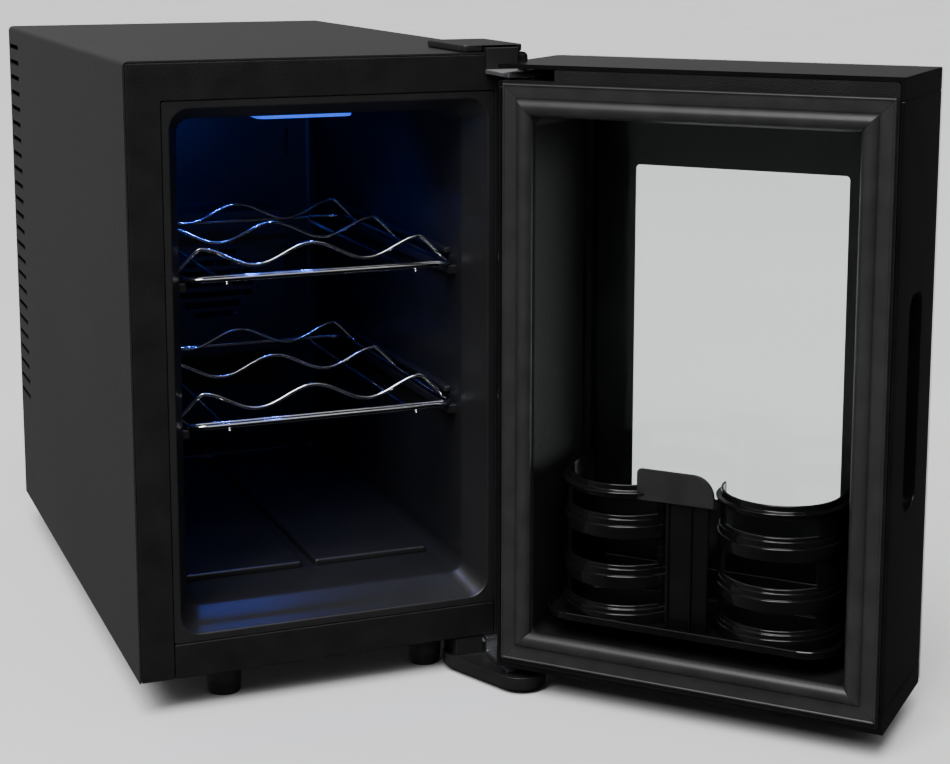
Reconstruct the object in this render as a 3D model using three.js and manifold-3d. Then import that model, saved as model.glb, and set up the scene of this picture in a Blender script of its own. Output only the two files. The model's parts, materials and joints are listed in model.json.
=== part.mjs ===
// Free-standing thermoelectric wine cooler with a deep glazed door and a bottle rack in the door.
// Millimetres, +Z up. The front faces -Y and the hinges are on the +X side.
// The origin is the middle of the raised panel under the base pan.

import * as THREE from 'three';
import { mergeVertices } from 'three/addons/utils/BufferGeometryUtils.js';
import Module from 'manifold-3d';

const wasm = await Module();
wasm.setup();

// ---------------------------------------------------------------- driving dimensions

const CABINET = { width: 290, depth: 500, height: 430, base: 2 };
const SHEET = 1.2; // folded steel sheet
const GAP = 0.3; // clearance between pieces that touch
const EPS = 1; // how far a cutter runs past the face it cuts

const FRONT = -CABINET.depth / 2;
const BACK = CABINET.depth / 2;
const HALF_WIDTH = CABINET.width / 2;
const UNDERSIDE = CABINET.base;
const TOP = CABINET.base + CABINET.height;

const RIM = { depth: 24, openingHalf: 120, openingLow: 27, openingHigh: 405 };
const MOUTH = { half: 114, low: 33, high: 399, radius: 14, slope: 28 };
const INTERIOR = { half: 104, low: 45, high: 390, back: 140, radius: 10, wall: 2.2 };
const PLATFORM = { front: FRONT + 75, half: 94, height: 5, groove: 10 };

const VENT = { count: 24, pitch: 13.6, firstBelowTop: 17, length: 46, height: 4, inset: 4 };

const SHELF = {
  heights: { lower: 172, upper: 277 },
  front: FRONT + 30,
  depth: 262,
  half: 99.4,
  corner: 14,
  frameRadius: 2,
  thinRadius: 1.5,
  crest: 14,
  railSpacing: 8,
  runnerAt: 70,
};
const RIB = {
  half: 97,
  front: FRONT + 36,
  length: 285,
  height: 7,
  keeperHalf: 99.5,
  keeperAbove: 4.5,
  keeperHeight: 4.5,
};

const FOOT = { topRadius: 14, bottomRadius: 12, low: -25, x: 77, inset: 35 };

const DOOR = {
  halfWidth: 140,
  low: -5,
  high: 427,
  gap: 7,
  thickness: 106,
  skin: 3,
  capHeight: 15,
  openAngle: THREE.MathUtils.degToRad(132.3),
};
const DOOR_BACK = FRONT - DOOR.gap;
const DOOR_FRONT = DOOR_BACK - DOOR.thickness;
const HINGE = { x: HALF_WIDTH - 15, y: FRONT - 32, pinRadius: 4, boreRadius: 4.12 };
const TOP_PLATE = { low: 417, thickness: 3, inward: 18, outward: 6, reach: 11, length: 62 };
const LOWER_PLATE = { low: -11.6, thickness: 3, inward: 18, outward: 6, reach: 11, length: 50 };
const TOP_PIN = { low: 402, headRadius: 6.5, headHeight: 1.4 };
const LOWER_PIN = { high: 14, flangeRadius: 8 };
const BUSH = { inward: 11, outward: 6.6, half: 12, topLow: 399, bottomHigh: 16 };
const HINGE_SLOT = { low: 415.5, high: 423.9, inward: 32, forward: 34 };

const RECESS = { half: 112.5, low: 22, high: 391, wall: 2.5, seatWidth: 12 };
const GLASS = { thickness: 4, cavity: 12.1, innerHalf: 118, innerLow: 12, innerHigh: 398 };
const PANE_BACK = DOOR_FRONT + 2 * GLASS.thickness + GLASS.cavity;
const CONTROL = { half: 41.7, low: 402, high: 418, depth: 9 };
const GASKET = { half: 135.5, low: 2.4, high: 414, width: 22, proud: 5.8 };
const GRIP = { low: 135, high: 282, width: 34, depth: 18, middle: DOOR_BACK - 50, wall: 2.5 };

const RACK = {
  low: 36,
  rim: 139,
  tabTop: 151,
  middle: 3,
  wellOffset: 57,
  wellInner: 40,
  wall: 2.5,
  wellY: DOOR_BACK - 47.5,
  half: 107,
  corner: 25,
  trayHeight: 6,
  flare: 2.8,
  front: DOOR_BACK - 2,
  back: DOOR_BACK - 83,
  windows: [
    [52, 64],
    [81, 100],
    [117, 129],
  ],
  beads: [47, 73, 107.5],
  ribs: [-0.5, 16],
};

const COOLING = { z: 215, liftY: 172, half: 20 };
const FAN = { outerRadius: 41, outerHub: 17, innerRadius: 31, innerHub: 12, innerFront: 101 };
const FAN_COVER = { half: 62, front: 92, skin: 2, slotReach: 33, slotPitch: 9 };
const INLET = { x: -95, z: 45 };

// ---------------------------------------------------------------- materials

const FINISH = {
  sheetBlack: { color: 0x1b1b1c, roughness: 0.42, metalness: 0.2 },
  grainBlack: { color: 0x131314, roughness: 0.62, metalness: 0 },
  linerBlack: { color: 0x0c0d10, roughness: 0.35, metalness: 0 },
  glossBlack: { color: 0x060607, roughness: 0.12, metalness: 0 },
  gasketGrey: { color: 0x2c2c2d, roughness: 0.6, metalness: 0 },
  rubberBlack: { color: 0x101010, roughness: 0.85, metalness: 0 },
  foam: { color: 0xd8cfa8, roughness: 0.95, metalness: 0 },
  chrome: { color: 0xd5d7da, roughness: 0.12, metalness: 1 },
  steel: { color: 0xa9abad, roughness: 0.35, metalness: 1 },
  aluminium: { color: 0xb9bbbe, roughness: 0.4, metalness: 1 },
  windowGlass: { color: 0xcfd8d8, roughness: 0.03, metalness: 0, transparent: true, opacity: 0.3 },
  nylon: { color: 0xd9d7cf, roughness: 0.5, metalness: 0 },
  ceramic: { color: 0xe9e7e0, roughness: 0.5, metalness: 0 },
  lampLens: { color: 0x3a6cff, roughness: 0.2, metalness: 0 },
};

// ---------------------------------------------------------------- geometry helpers

function box(x0, x1, y0, y1, z0, z1) {
  const geometry = new THREE.BoxGeometry(x1 - x0, y1 - y0, z1 - z0);
  return geometry.translate((x0 + x1) / 2, (y0 + y1) / 2, (z0 + z1) / 2);
}

function roundedRect(x0, x1, y0, y1, r) {
  const shape = new THREE.Shape();
  shape.moveTo(x0 + r, y0);
  shape.lineTo(x1 - r, y0);
  shape.absarc(x1 - r, y0 + r, r, -Math.PI / 2, 0, false);
  shape.lineTo(x1, y1 - r);
  shape.absarc(x1 - r, y1 - r, r, 0, Math.PI / 2, false);
  shape.lineTo(x0 + r, y1);
  shape.absarc(x0 + r, y1 - r, r, Math.PI / 2, Math.PI, false);
  shape.lineTo(x0, y0 + r);
  shape.absarc(x0 + r, y0 + r, r, Math.PI, 1.5 * Math.PI, false);
  return shape;
}

function polygon(points) {
  return new THREE.Shape(points.map(([x, y]) => new THREE.Vector2(x, y)));
}

// A shape drawn in X and Y, raised from z0 to z1.
function extrudeZ(shape, z0, z1, curveSegments = 6) {
  const options = { depth: z1 - z0, bevelEnabled: false, curveSegments };
  return new THREE.ExtrudeGeometry(shape, options).translate(0, 0, z0);
}

// A shape drawn in X and Z, run from y0 to y1.
function extrudeY(shape, y0, y1, curveSegments = 6) {
  const options = { depth: y1 - y0, bevelEnabled: false, curveSegments };
  return new THREE.ExtrudeGeometry(shape, options).rotateX(Math.PI / 2).translate(0, y1, 0);
}

// A shape drawn in Y and Z, run from x0 to x1.
function extrudeX(shape, x0, x1, curveSegments = 6) {
  const options = { depth: x1 - x0, bevelEnabled: false, curveSegments };
  const turn = new THREE.Matrix4().makeBasis(
    new THREE.Vector3(0, 1, 0),
    new THREE.Vector3(0, 0, 1),
    new THREE.Vector3(1, 0, 0),
  );
  return new THREE.ExtrudeGeometry(shape, options).applyMatrix4(turn).translate(x0, 0, 0);
}

// Turns a closed geometry's faces round if they point inwards.
function outwardFacing(geometry) {
  const position = geometry.attributes.position;
  const corner = (i) => new THREE.Vector3().fromBufferAttribute(position, geometry.index.getX(i));
  let volume = 0;
  for (let i = 0; i < geometry.index.count; i += 3) {
    volume += corner(i).dot(corner(i + 1).cross(corner(i + 2)));
  }
  if (volume < 0) {
    geometry.setIndex([...geometry.index.array].reverse());
  }
  return geometry;
}

// A body turned about Z from [radius, height] pairs that start and end on the axis.
function turned(profile, x, y, segments = 24) {
  const points = profile.map(([r, z]) => new THREE.Vector2(r, z));
  const geometry = new THREE.LatheGeometry(points, segments).rotateX(Math.PI / 2);
  return outwardFacing(geometry.translate(x, y, 0));
}

function cylinderZ(radius, x, y, z0, z1, segments = 32) {
  const geometry = new THREE.CylinderGeometry(radius, radius, z1 - z0, segments);
  return geometry.rotateX(Math.PI / 2).translate(x, y, (z0 + z1) / 2);
}

function cylinderY(radius, x, z, y0, y1, segments = 32) {
  const geometry = new THREE.CylinderGeometry(radius, radius, y1 - y0, segments);
  return geometry.translate(x, (y0 + y1) / 2, z);
}

function indexed(points, indices) {
  const geometry = new THREE.BufferGeometry();
  const positions = points.flatMap((p) => [p.x, p.y, p.z]);
  geometry.setAttribute('position', new THREE.Float32BufferAttribute(positions, 3));
  geometry.setIndex(indices);
  return outwardFacing(geometry);
}

// The two triangles of each face between one ring of points and the next.
function bandIndices(from, to, count) {
  return Array.from({ length: count }, (_, i) => {
    const j = (i + 1) % count;
    return [from + i, from + j, to + j, from + i, to + j, to + i];
  }).flat();
}

// A closed body through rings of equally many points; the two end rings are convex and filled.
function loft(rings) {
  const count = rings[0].length;
  const last = (rings.length - 1) * count;
  const indices = [];
  for (let start = 0; start < last; start += count) {
    indices.push(...bandIndices(start, start + count, count));
  }
  for (let i = 1; i + 1 < count; i++) {
    indices.push(0, i + 1, i);
    indices.push(last, last + i, last + i + 1);
  }
  return indexed(rings.flat(), indices);
}

// The same, with the last ring joined to the first.
function loftClosed(rings) {
  const count = rings[0].length;
  const indices = rings.flatMap((_, k) =>
    bandIndices(k * count, ((k + 1) % rings.length) * count, count),
  );
  return indexed(rings.flat(), indices);
}

// A round wire along points that lie in one plane, whose unit normal is given.
function wire(points, normal, radius, closed, sides = 6) {
  const count = points.length;
  const rings = points.map((p, i) => {
    const before = points[closed ? (i + count - 1) % count : Math.max(i - 1, 0)];
    const after = points[closed ? (i + 1) % count : Math.min(i + 1, count - 1)];
    const arriving = p.clone().sub(before).normalize();
    const leaving = after.clone().sub(p).normalize();
    const along = arriving.clone().add(leaving).normalize();
    const straight = arriving.lengthSq() && leaving.lengthSq();
    const stretch = straight ? 1 / Math.max(along.dot(leaving), 0.5) : 1;
    const side = along.clone().cross(normal).multiplyScalar(stretch);
    return Array.from({ length: sides }, (_, k) => {
      const angle = (2 * Math.PI * (k + 0.5)) / sides;
      const out = side.clone().multiplyScalar(Math.cos(angle) * radius);
      return p.clone().add(out).addScaledVector(normal, Math.sin(angle) * radius);
    });
  });
  return closed ? loftClosed(rings) : loft(rings);
}

function toSolid(geometry) {
  const bare = geometry.clone();
  bare.deleteAttribute('normal');
  bare.deleteAttribute('uv');
  const merged = mergeVertices(bare, 1e-4);
  return new wasm.Manifold(
    new wasm.Mesh({
      numProp: 3,
      vertProperties: new Float32Array(merged.attributes.position.array),
      triVerts: new Uint32Array(merged.index.array),
    }),
  );
}

function toGeometry(solid) {
  const { numProp, vertProperties, triVerts } = solid.getMesh();
  const positions = [];
  for (let i = 0; i < vertProperties.length; i += numProp) {
    positions.push(vertProperties[i], vertProperties[i + 1], vertProperties[i + 2]);
  }
  const geometry = new THREE.BufferGeometry();
  geometry.setAttribute('position', new THREE.Float32BufferAttribute(positions, 3));
  geometry.setIndex([...triVerts]);
  return geometry;
}

// Joins the first list of geometries and cuts the second list out of them.
function build(added, removed = []) {
  let solid = added.map(toSolid).reduce((a, b) => a.add(b));
  for (const cutter of removed) {
    solid = solid.subtract(toSolid(cutter));
  }
  return toGeometry(solid);
}

function piece(parent, name, geometry, finish) {
  const mesh = new THREE.Mesh(geometry, new THREE.MeshStandardMaterial(FINISH[finish]));
  mesh.name = name;
  parent.add(mesh);
  return mesh;
}

// ---------------------------------------------------------------- cabinet casing

function outerShell() {
  const outer = HALF_WIDTH;
  const inner = outer - SHEET;
  const corner = 4;
  const shape = new THREE.Shape();
  shape.moveTo(outer, UNDERSIDE);
  shape.lineTo(outer, TOP - corner);
  shape.absarc(outer - corner, TOP - corner, corner, 0, Math.PI / 2, false);
  shape.lineTo(-outer + corner, TOP);
  shape.absarc(-outer + corner, TOP - corner, corner, Math.PI / 2, Math.PI, false);
  shape.lineTo(-outer, UNDERSIDE);
  shape.lineTo(-inner, UNDERSIDE);
  shape.lineTo(-inner, TOP - SHEET);
  shape.lineTo(inner, TOP - SHEET);
  shape.lineTo(inner, UNDERSIDE);
  const slots = [];
  for (let i = 0; i < VENT.count; i++) {
    const z = TOP - VENT.firstBelowTop - i * VENT.pitch;
    const y0 = BACK - VENT.inset - VENT.length;
    for (const side of [-1, 1]) {
      const x0 = side * HALF_WIDTH - 4;
      slots.push(box(x0, x0 + 8, y0, BACK - VENT.inset, z - VENT.height / 2, z + VENT.height / 2));
    }
  }
  return build([extrudeY(shape, FRONT + 0.5, BACK, 4)], slots);
}

function basePan() {
  const half = HALF_WIDTH - SHEET - GAP;
  const y0 = FRONT + RIM.depth + GAP;
  const y1 = BACK - SHEET - 2 * GAP;
  const panel = { half: 90, y: 185 };
  return build(
    [
      box(-half, half, y0, y1, UNDERSIDE, UNDERSIDE + SHEET),
      box(-panel.half, panel.half, -panel.y, panel.y, 0, UNDERSIDE + SHEET),
    ],
    [
      box(
        -panel.half + SHEET,
        panel.half - SHEET,
        -panel.y + SHEET,
        panel.y - SHEET,
        SHEET,
        UNDERSIDE + SHEET + EPS,
      ),
    ],
  );
}

function rearGrille() {
  const half = HALF_WIDTH - SHEET - GAP;
  const y1 = BACK - 0.2;
  const y0 = y1 - SHEET;
  const cuts = [];
  for (let row = 0; row < 9; row++) {
    const z = COOLING.z - 40 + row * 10;
    cuts.push(box(-45, 45, y0 - EPS, y1 + EPS, z - 2.5, z + 2.5));
  }
  for (let row = 0; row < 4; row++) {
    const z = TOP - 60 + row * 12;
    for (const x of [-70, 70]) {
      cuts.push(box(x - 45, x + 45, y0 - EPS, y1 + EPS, z - 2.5, z + 2.5));
    }
  }
  cuts.push(box(INLET.x - 15, INLET.x + 15, y0 - EPS, y1 + EPS, INLET.z - 11, INLET.z + 11));
  return build([box(-half, half, y0, y1, UNDERSIDE + 0.2, TOP - SHEET - GAP)], cuts);
}

// The textured rim: a top rail and two stiles in one moulding.
function frontFrame() {
  const half = HALF_WIDTH - SHEET - GAP;
  const high = TOP - SHEET - GAP;
  const shape = polygon([
    [half, UNDERSIDE],
    [half, high],
    [-half, high],
    [-half, UNDERSIDE],
    [-RIM.openingHalf, UNDERSIDE],
    [-RIM.openingHalf, RIM.openingHigh],
    [RIM.openingHalf, RIM.openingHigh],
    [RIM.openingHalf, UNDERSIDE],
  ]);
  return extrudeY(shape, FRONT, FRONT + RIM.depth);
}

function sillTrim() {
  const half = RIM.openingHalf - GAP;
  return box(-half, half, FRONT, FRONT + RIM.depth, UNDERSIDE, RIM.openingLow - GAP);
}

// Points round a rectangle with rounded corners in X and Z, always equally many.
function ring(half, low, high, radius, y) {
  const steps = 4;
  const centres = [
    [half - radius, low + radius],
    [half - radius, high - radius],
    [-half + radius, high - radius],
    [-half + radius, low + radius],
  ];
  return centres.flatMap(([x, z], quarter) =>
    Array.from({ length: steps + 1 }, (_, i) => {
      const angle = (Math.PI / 2) * (quarter - 1 + i / steps);
      return new THREE.Vector3(x + radius * Math.cos(angle), y, z + radius * Math.sin(angle));
    }),
  );
}

// The mouth of the liner narrows from the front face to the interior.
function mouthSlope(grow, y0, y1) {
  return loft([
    ring(MOUTH.half + grow, MOUTH.low - grow, MOUTH.high + grow, MOUTH.radius, y0),
    ring(INTERIOR.half + grow, INTERIOR.low - grow, INTERIOR.high + grow, INTERIOR.radius, y1),
  ]);
}

function interiorBlock(grow, y0, y1) {
  const { half, low, high, radius } = INTERIOR;
  return extrudeY(roundedRect(-half - grow, half + grow, low - grow, high + grow, radius), y0, y1, 4);
}

// Each shelf slides between a supporting rib and a narrower keeper rib on either side wall.
function shelfRibs() {
  const y0 = RIB.front;
  const y1 = y0 + RIB.length;
  const rib = (side, half, start, z0, z1) => {
    const reach = [side * half, side * (INTERIOR.half + EPS)];
    return box(Math.min(...reach), Math.max(...reach), start, y1, z0, z1);
  };
  return Object.values(SHELF.heights).flatMap((z) => {
    const seat = z - SHELF.frameRadius - GAP;
    const keeper = z + RIB.keeperAbove;
    return [-1, 1].flatMap((side) => [
      rib(side, RIB.half, y0, seat - RIB.height, seat),
      rib(side, RIB.keeperHalf, y0 + 12, keeper, keeper + RIB.keeperHeight),
    ]);
  });
}

function innerLiner() {
  const { wall, back } = INTERIOR;
  const slopeEnd = FRONT + MOUTH.slope;
  const face = FRONT + 0.8;
  const flange = RIM.openingHalf - GAP;
  const floor = INTERIOR.low;
  const duct = COOLING.half + 1;
  const shellWalls = build(
    [
      box(-flange, flange, face, face + wall, RIM.openingLow + GAP, RIM.openingHigh - GAP),
      mouthSlope(wall, face + wall / 2, slopeEnd + 0.01),
      interiorBlock(wall, slopeEnd, back + wall),
    ],
    [mouthSlope(0, face - 0.01, slopeEnd + 0.01), interiorBlock(0, slopeEnd - 0.01, back)],
  );
  const { front, half, height, groove } = PLATFORM;
  return build(
    [
      shellWalls,
      ...shelfRibs(),
      box(-half, -groove / 2, front, back + EPS, floor - EPS, floor + height),
      box(groove / 2, half, front, back + EPS, floor - EPS, floor + height),
    ],
    [box(-duct, duct, back - EPS, back + wall + EPS, COOLING.z - duct, COOLING.z + duct)],
  );
}

// Foam that fills the space between the liner and the casing.
function insulation() {
  const half = HALF_WIDTH - SHEET - GAP;
  const { wall } = INTERIOR;
  const rimBack = FRONT + RIM.depth + GAP;
  const slopeEnd = FRONT + MOUTH.slope;
  const behind = INTERIOR.back + wall;
  const duct = COOLING.half + 1;
  return build(
    [box(-half, half, rimBack, COOLING.liftY, UNDERSIDE + SHEET + GAP, TOP - SHEET - GAP)],
    [
      mouthSlope(wall + GAP, FRONT, slopeEnd + 0.02),
      interiorBlock(wall + GAP, slopeEnd - 1, behind + GAP),
      box(-duct, duct, behind - EPS, COOLING.liftY + EPS, COOLING.z - duct, COOLING.z + duct),
    ],
  );
}

function foot() {
  const high = UNDERSIDE - GAP;
  const { topRadius, bottomRadius, low } = FOOT;
  return [
    [0, low],
    [bottomRadius - 1.5, low],
    [bottomRadius, low + 1.5],
    [topRadius, high],
    [0, high],
  ];
}

function addFeet(parent) {
  for (const [name, x, y] of [
    ['foot_front_left', -FOOT.x, FRONT + FOOT.inset],
    ['foot_front_right', FOOT.x, FRONT + FOOT.inset],
    ['foot_rear_left', -FOOT.x, BACK - FOOT.inset],
    ['foot_rear_right', FOOT.x, BACK - FOOT.inset],
  ]) {
    piece(parent, name, turned(foot(), x, y), 'rubberBlack');
  }
}

// ---------------------------------------------------------------- hinges

// Bent strap: screwed down on the cabinet top, folded down the front and out over the door.
function topHingePlate() {
  const { low, thickness, inward, outward, reach, length } = TOP_PLATE;
  const web = FRONT - GAP - thickness;
  const over = TOP + GAP;
  const strap = polygon([
    [HINGE.y - reach, low],
    [FRONT - GAP, low],
    [FRONT - GAP, over],
    [FRONT + length, over],
    [FRONT + length, over + thickness],
    [web, over + thickness],
    [web, low + thickness],
    [HINGE.y - reach, low + thickness],
  ]);
  return build(
    [extrudeX(strap, HINGE.x - inward, HINGE.x + outward)],
    [cylinderZ(HINGE.pinRadius + GAP, HINGE.x, HINGE.y, low - EPS, low + thickness + EPS, 24)],
  );
}

function topHingeCover() {
  const low = TOP + GAP;
  const shape = roundedRect(HINGE.x - 34, HINGE.x + 12, FRONT + 2, FRONT + 76, 4);
  const pocket = box(HINGE.x - 19, HINGE.x + 7, FRONT - EPS, FRONT + 63, low - EPS, low + 3.6);
  return build([extrudeZ(shape, low, low + 5, 3)], [pocket]);
}

function topHingePin() {
  const { low, headRadius, headHeight } = TOP_PIN;
  const head = TOP_PLATE.low + TOP_PLATE.thickness + GAP;
  return [
    [0, low],
    [HINGE.pinRadius, low],
    [HINGE.pinRadius, head],
    [headRadius, head],
    [headRadius, head + headHeight],
    [0, head + headHeight],
  ];
}

// Cranked plate: bolted under the cabinet, stepping down to pass under the door.
function lowerHingePlate() {
  const { low, thickness, inward, outward, reach, length } = LOWER_PLATE;
  const under = UNDERSIDE - GAP;
  const web = FRONT - 1.5;
  const strap = polygon([
    [HINGE.y - reach, low],
    [web, low],
    [web, under - thickness],
    [FRONT + length, under - thickness],
    [FRONT + length, under],
    [web - thickness, under],
    [web - thickness, low + thickness],
    [HINGE.y - reach, low + thickness],
  ]);
  return build(
    [extrudeX(strap, HINGE.x - inward, HINGE.x + outward)],
    [cylinderZ(HINGE.pinRadius + GAP, HINGE.x, HINGE.y, low - EPS, low + thickness + EPS, 24)],
  );
}

function lowerHingePin() {
  const { low, thickness } = LOWER_PLATE;
  const { high, flangeRadius } = LOWER_PIN;
  const r = HINGE.pinRadius;
  const plateTop = low + thickness + GAP;
  return [
    [0, low + GAP],
    [r, low + GAP],
    [r, plateTop],
    [flangeRadius, plateTop],
    [flangeRadius, DOOR.low - 2 * GAP],
    [r, DOOR.low - 2 * GAP],
    [r, high],
    [0, high],
  ];
}

// Moulded cover below the lower plate, a bar with round ends that runs out under the door.
function lowerHingeCover() {
  const from = new THREE.Vector2(HINGE.x - 26, FRONT + 12);
  const to = new THREE.Vector2(HINGE.x - 5, HINGE.y - 6);
  const radius = 19;
  const heading = Math.atan2(to.y - from.y, to.x - from.x);
  const outline = (r) => {
    const shape = new THREE.Shape();
    shape.absarc(to.x, to.y, r, heading - Math.PI / 2, heading + Math.PI / 2, false);
    shape.absarc(from.x, from.y, r, heading + Math.PI / 2, heading + 1.5 * Math.PI, false);
    return shape;
  };
  const high = LOWER_PLATE.low - GAP;
  return build(
    [
      extrudeZ(outline(radius), FOOT.low + 4, high, 6),
      extrudeZ(outline(radius - 2), FOOT.low + 2, FOOT.low + 5, 6),
      box(from.x - 14, HINGE.x - 19, FRONT + 1, FRONT + 26, high - EPS, UNDERSIDE - GAP),
    ],
  );
}

function hingeBush(z0, z1) {
  const { inward, outward, half } = BUSH;
  return build(
    [box(HINGE.x - inward, HINGE.x + outward, HINGE.y - half, HINGE.y + half, z0, z1)],
    [cylinderZ(HINGE.boreRadius, HINGE.x, HINGE.y, z0 - EPS, z1 + EPS)],
  );
}

// ---------------------------------------------------------------- cooling and electrics

// A comb of plates along Z: base from y0 towards y1, then fins.
function finnedSink(half, base, tip, zHalf, fins, thickness) {
  const [y0, y1] = base;
  const inward = tip > y1 ? 1 : -1;
  const root = inward > 0 ? y1 : y0;
  const parts = [box(-half, half, y0, y1, COOLING.z - zHalf, COOLING.z + zHalf)];
  for (let i = 0; i < fins; i++) {
    const x = -half + thickness / 2 + (i * (2 * half - thickness)) / (fins - 1);
    const [a, b] = inward > 0 ? [root - EPS, tip] : [tip, root + EPS];
    parts.push(box(x - thickness / 2, x + thickness / 2, a, b, COOLING.z - zHalf, COOLING.z + zHalf));
  }
  return build(parts);
}

function fanRotor(radius, hub, y0, y1, blades) {
  const parts = [cylinderY(hub, 0, COOLING.z, y0, y1, 24)];
  const middle = (y0 + y1) / 2;
  const chord = (radius - hub) * 0.9;
  for (let i = 0; i < blades; i++) {
    const blade = box(hub - 2, radius, -1, 1, -chord / 2, chord / 2);
    blade.rotateX(THREE.MathUtils.degToRad(52));
    blade.rotateY((2 * Math.PI * i) / blades);
    blade.translate(0, middle, COOLING.z);
    parts.push(blade);
  }
  const limit = cylinderY(radius, 0, COOLING.z, y0, y1, 32);
  const joined = toSolid(build(parts)).intersect(toSolid(limit));
  return toGeometry(joined);
}

function exhaustFanFrame(y0, y1) {
  const half = 46;
  const arms = [0, 1, 2].map((i) => {
    const arm = box(0, half - 2, y1 - 3, y1, -2.5, 2.5);
    return arm.rotateY((2 * Math.PI * i) / 3).translate(0, 0, COOLING.z);
  });
  const shroud = build(
    [box(-half, half, y0, y1, COOLING.z - half, COOLING.z + half)],
    [cylinderY(FAN.outerRadius + 2, 0, COOLING.z, y0 - EPS, y1 + EPS)],
  );
  return build([shroud, ...arms, cylinderY(FAN.outerHub, 0, COOLING.z, y1 - 3, y1, 24)]);
}

// Moulded box over the cold sink and its fan, with slots in its face.
function interiorFanCover() {
  const { half, front, skin, slotReach, slotPitch } = FAN_COVER;
  const z = COOLING.z;
  const y1 = INTERIOR.back - GAP;
  const inside = half - skin;
  const cuts = [box(-inside, inside, front + skin, y1 + EPS, z - inside, z + inside)];
  for (let row = -3; row <= 3; row++) {
    const middle = z + row * slotPitch;
    const reach = Math.sqrt(slotReach ** 2 - (row * slotPitch) ** 2);
    cuts.push(box(-reach, reach, front - EPS, front + skin + EPS, middle - 2.5, middle + 2.5));
  }
  for (const side of [-1, 1]) {
    cuts.push(box(side * half - 3, side * half + 3, 122, 136, z - 40, z + 40));
  }
  return build(
    [extrudeY(roundedRect(-half, half, z - half, z + half, 8), front, y1, 3)],
    cuts,
  );
}

function powerSupply() {
  const cuts = [box(8, 116, 188, 232, 14, 53)];
  for (let i = 0; i < 5; i++) {
    cuts.push(box(25 + i * 17, 33 + i * 17, 195, 225, 50, 58));
  }
  return build([box(6, 118, 186, 234, 12, 55)], cuts);
}

function powerInlet() {
  const y1 = BACK + 1.6;
  const socket = BACK - 16;
  const { x, z } = INLET;
  return build(
    [
      box(x - 14.6, x + 14.6, socket - 2, y1, z - 10.6, z + 10.6),
      box(x - 20, x + 20, BACK + 0.1, y1, z - 14, z + 14),
    ],
    [box(x - 12, x + 12, socket, y1 + EPS, z - 8, z + 8)],
  );
}

function addCooling(parent) {
  const { z, liftY, half } = COOLING;
  const exhaust = { y0: liftY + 42, y1: liftY + 66 };
  piece(parent, 'interior_fan_cover', interiorFanCover(), 'linerBlack');
  piece(parent, 'cold_sink', finnedSink(45, [134, 139.7], 122, 45, 13, 1.6), 'aluminium');
  const spreader = box(-half, half, INTERIOR.back, liftY, z - half, z + half);
  piece(parent, 'cold_spreader', spreader, 'aluminium');
  const module = box(-half, half, liftY + GAP, liftY + 4, z - half, z + half);
  piece(parent, 'cooling_module', module, 'ceramic');
  const hotBase = [liftY + 4.3, liftY + 10];
  piece(parent, 'hot_sink', finnedSink(58, hotBase, liftY + 38, 60, 15, 1.8), 'aluminium');
  piece(parent, 'exhaust_fan_frame', exhaustFanFrame(exhaust.y0, exhaust.y1), 'grainBlack');
  piece(parent, 'power_supply', powerSupply(), 'steel');
  piece(parent, 'power_inlet', powerInlet(), 'glossBlack');
  const probe = roundedRect(-4, 4, -14, 14, 3);
  piece(parent, 'temperature_probe', extrudeY(probe, 131, 139.7, 3).translate(82, 0, 330), 'nylon');
  const lamp = roundedRect(-36, 36, -185, -155, 8);
  piece(parent, 'light_module', extrudeZ(lamp, INTERIOR.high - 6, INTERIOR.high - GAP, 3), 'lampLens');
  const rotorY = [exhaust.y0 + 2, exhaust.y1 - 5];
  const outer = fanRotor(FAN.outerRadius, FAN.outerHub, rotorY[0], rotorY[1], 7);
  piece(parent, 'exhaust_fan_rotor', outer, 'grainBlack');
  const innerY = [FAN.innerFront, FAN.innerFront + 16];
  const inner = fanRotor(FAN.innerRadius, FAN.innerHub, innerY[0], innerY[1], 7);
  piece(parent, 'interior_fan_rotor', inner, 'grainBlack');
}

// ---------------------------------------------------------------- wire shelves

function shelfFrameLoop(z) {
  const { half, front, depth, corner } = SHELF;
  const outline = roundedRect(-half, half, front, front + depth, corner).getPoints(4);
  return outline.slice(0, -1).map((p) => new THREE.Vector3(p.x, p.y, z));
}

// A cross wire whose ends are bent down to the frame, with two cradles and a crest between.
function cradlePoints(y, z) {
  const foot = z + SHELF.frameRadius + SHELF.thinRadius + GAP;
  const reach = SHELF.half - SHELF.frameRadius;
  const shoulder = 84;
  const steps = 20;
  const points = [new THREE.Vector3(-reach, y, foot)];
  for (let i = 0; i <= steps; i++) {
    const x = -shoulder + (2 * shoulder * i) / steps;
    const lift = (1 + Math.cos((2 * Math.PI * x) / shoulder)) / 2;
    points.push(new THREE.Vector3(x, y, foot + lift * SHELF.crest));
  }
  points.push(new THREE.Vector3(reach, y, foot));
  return points;
}

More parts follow.
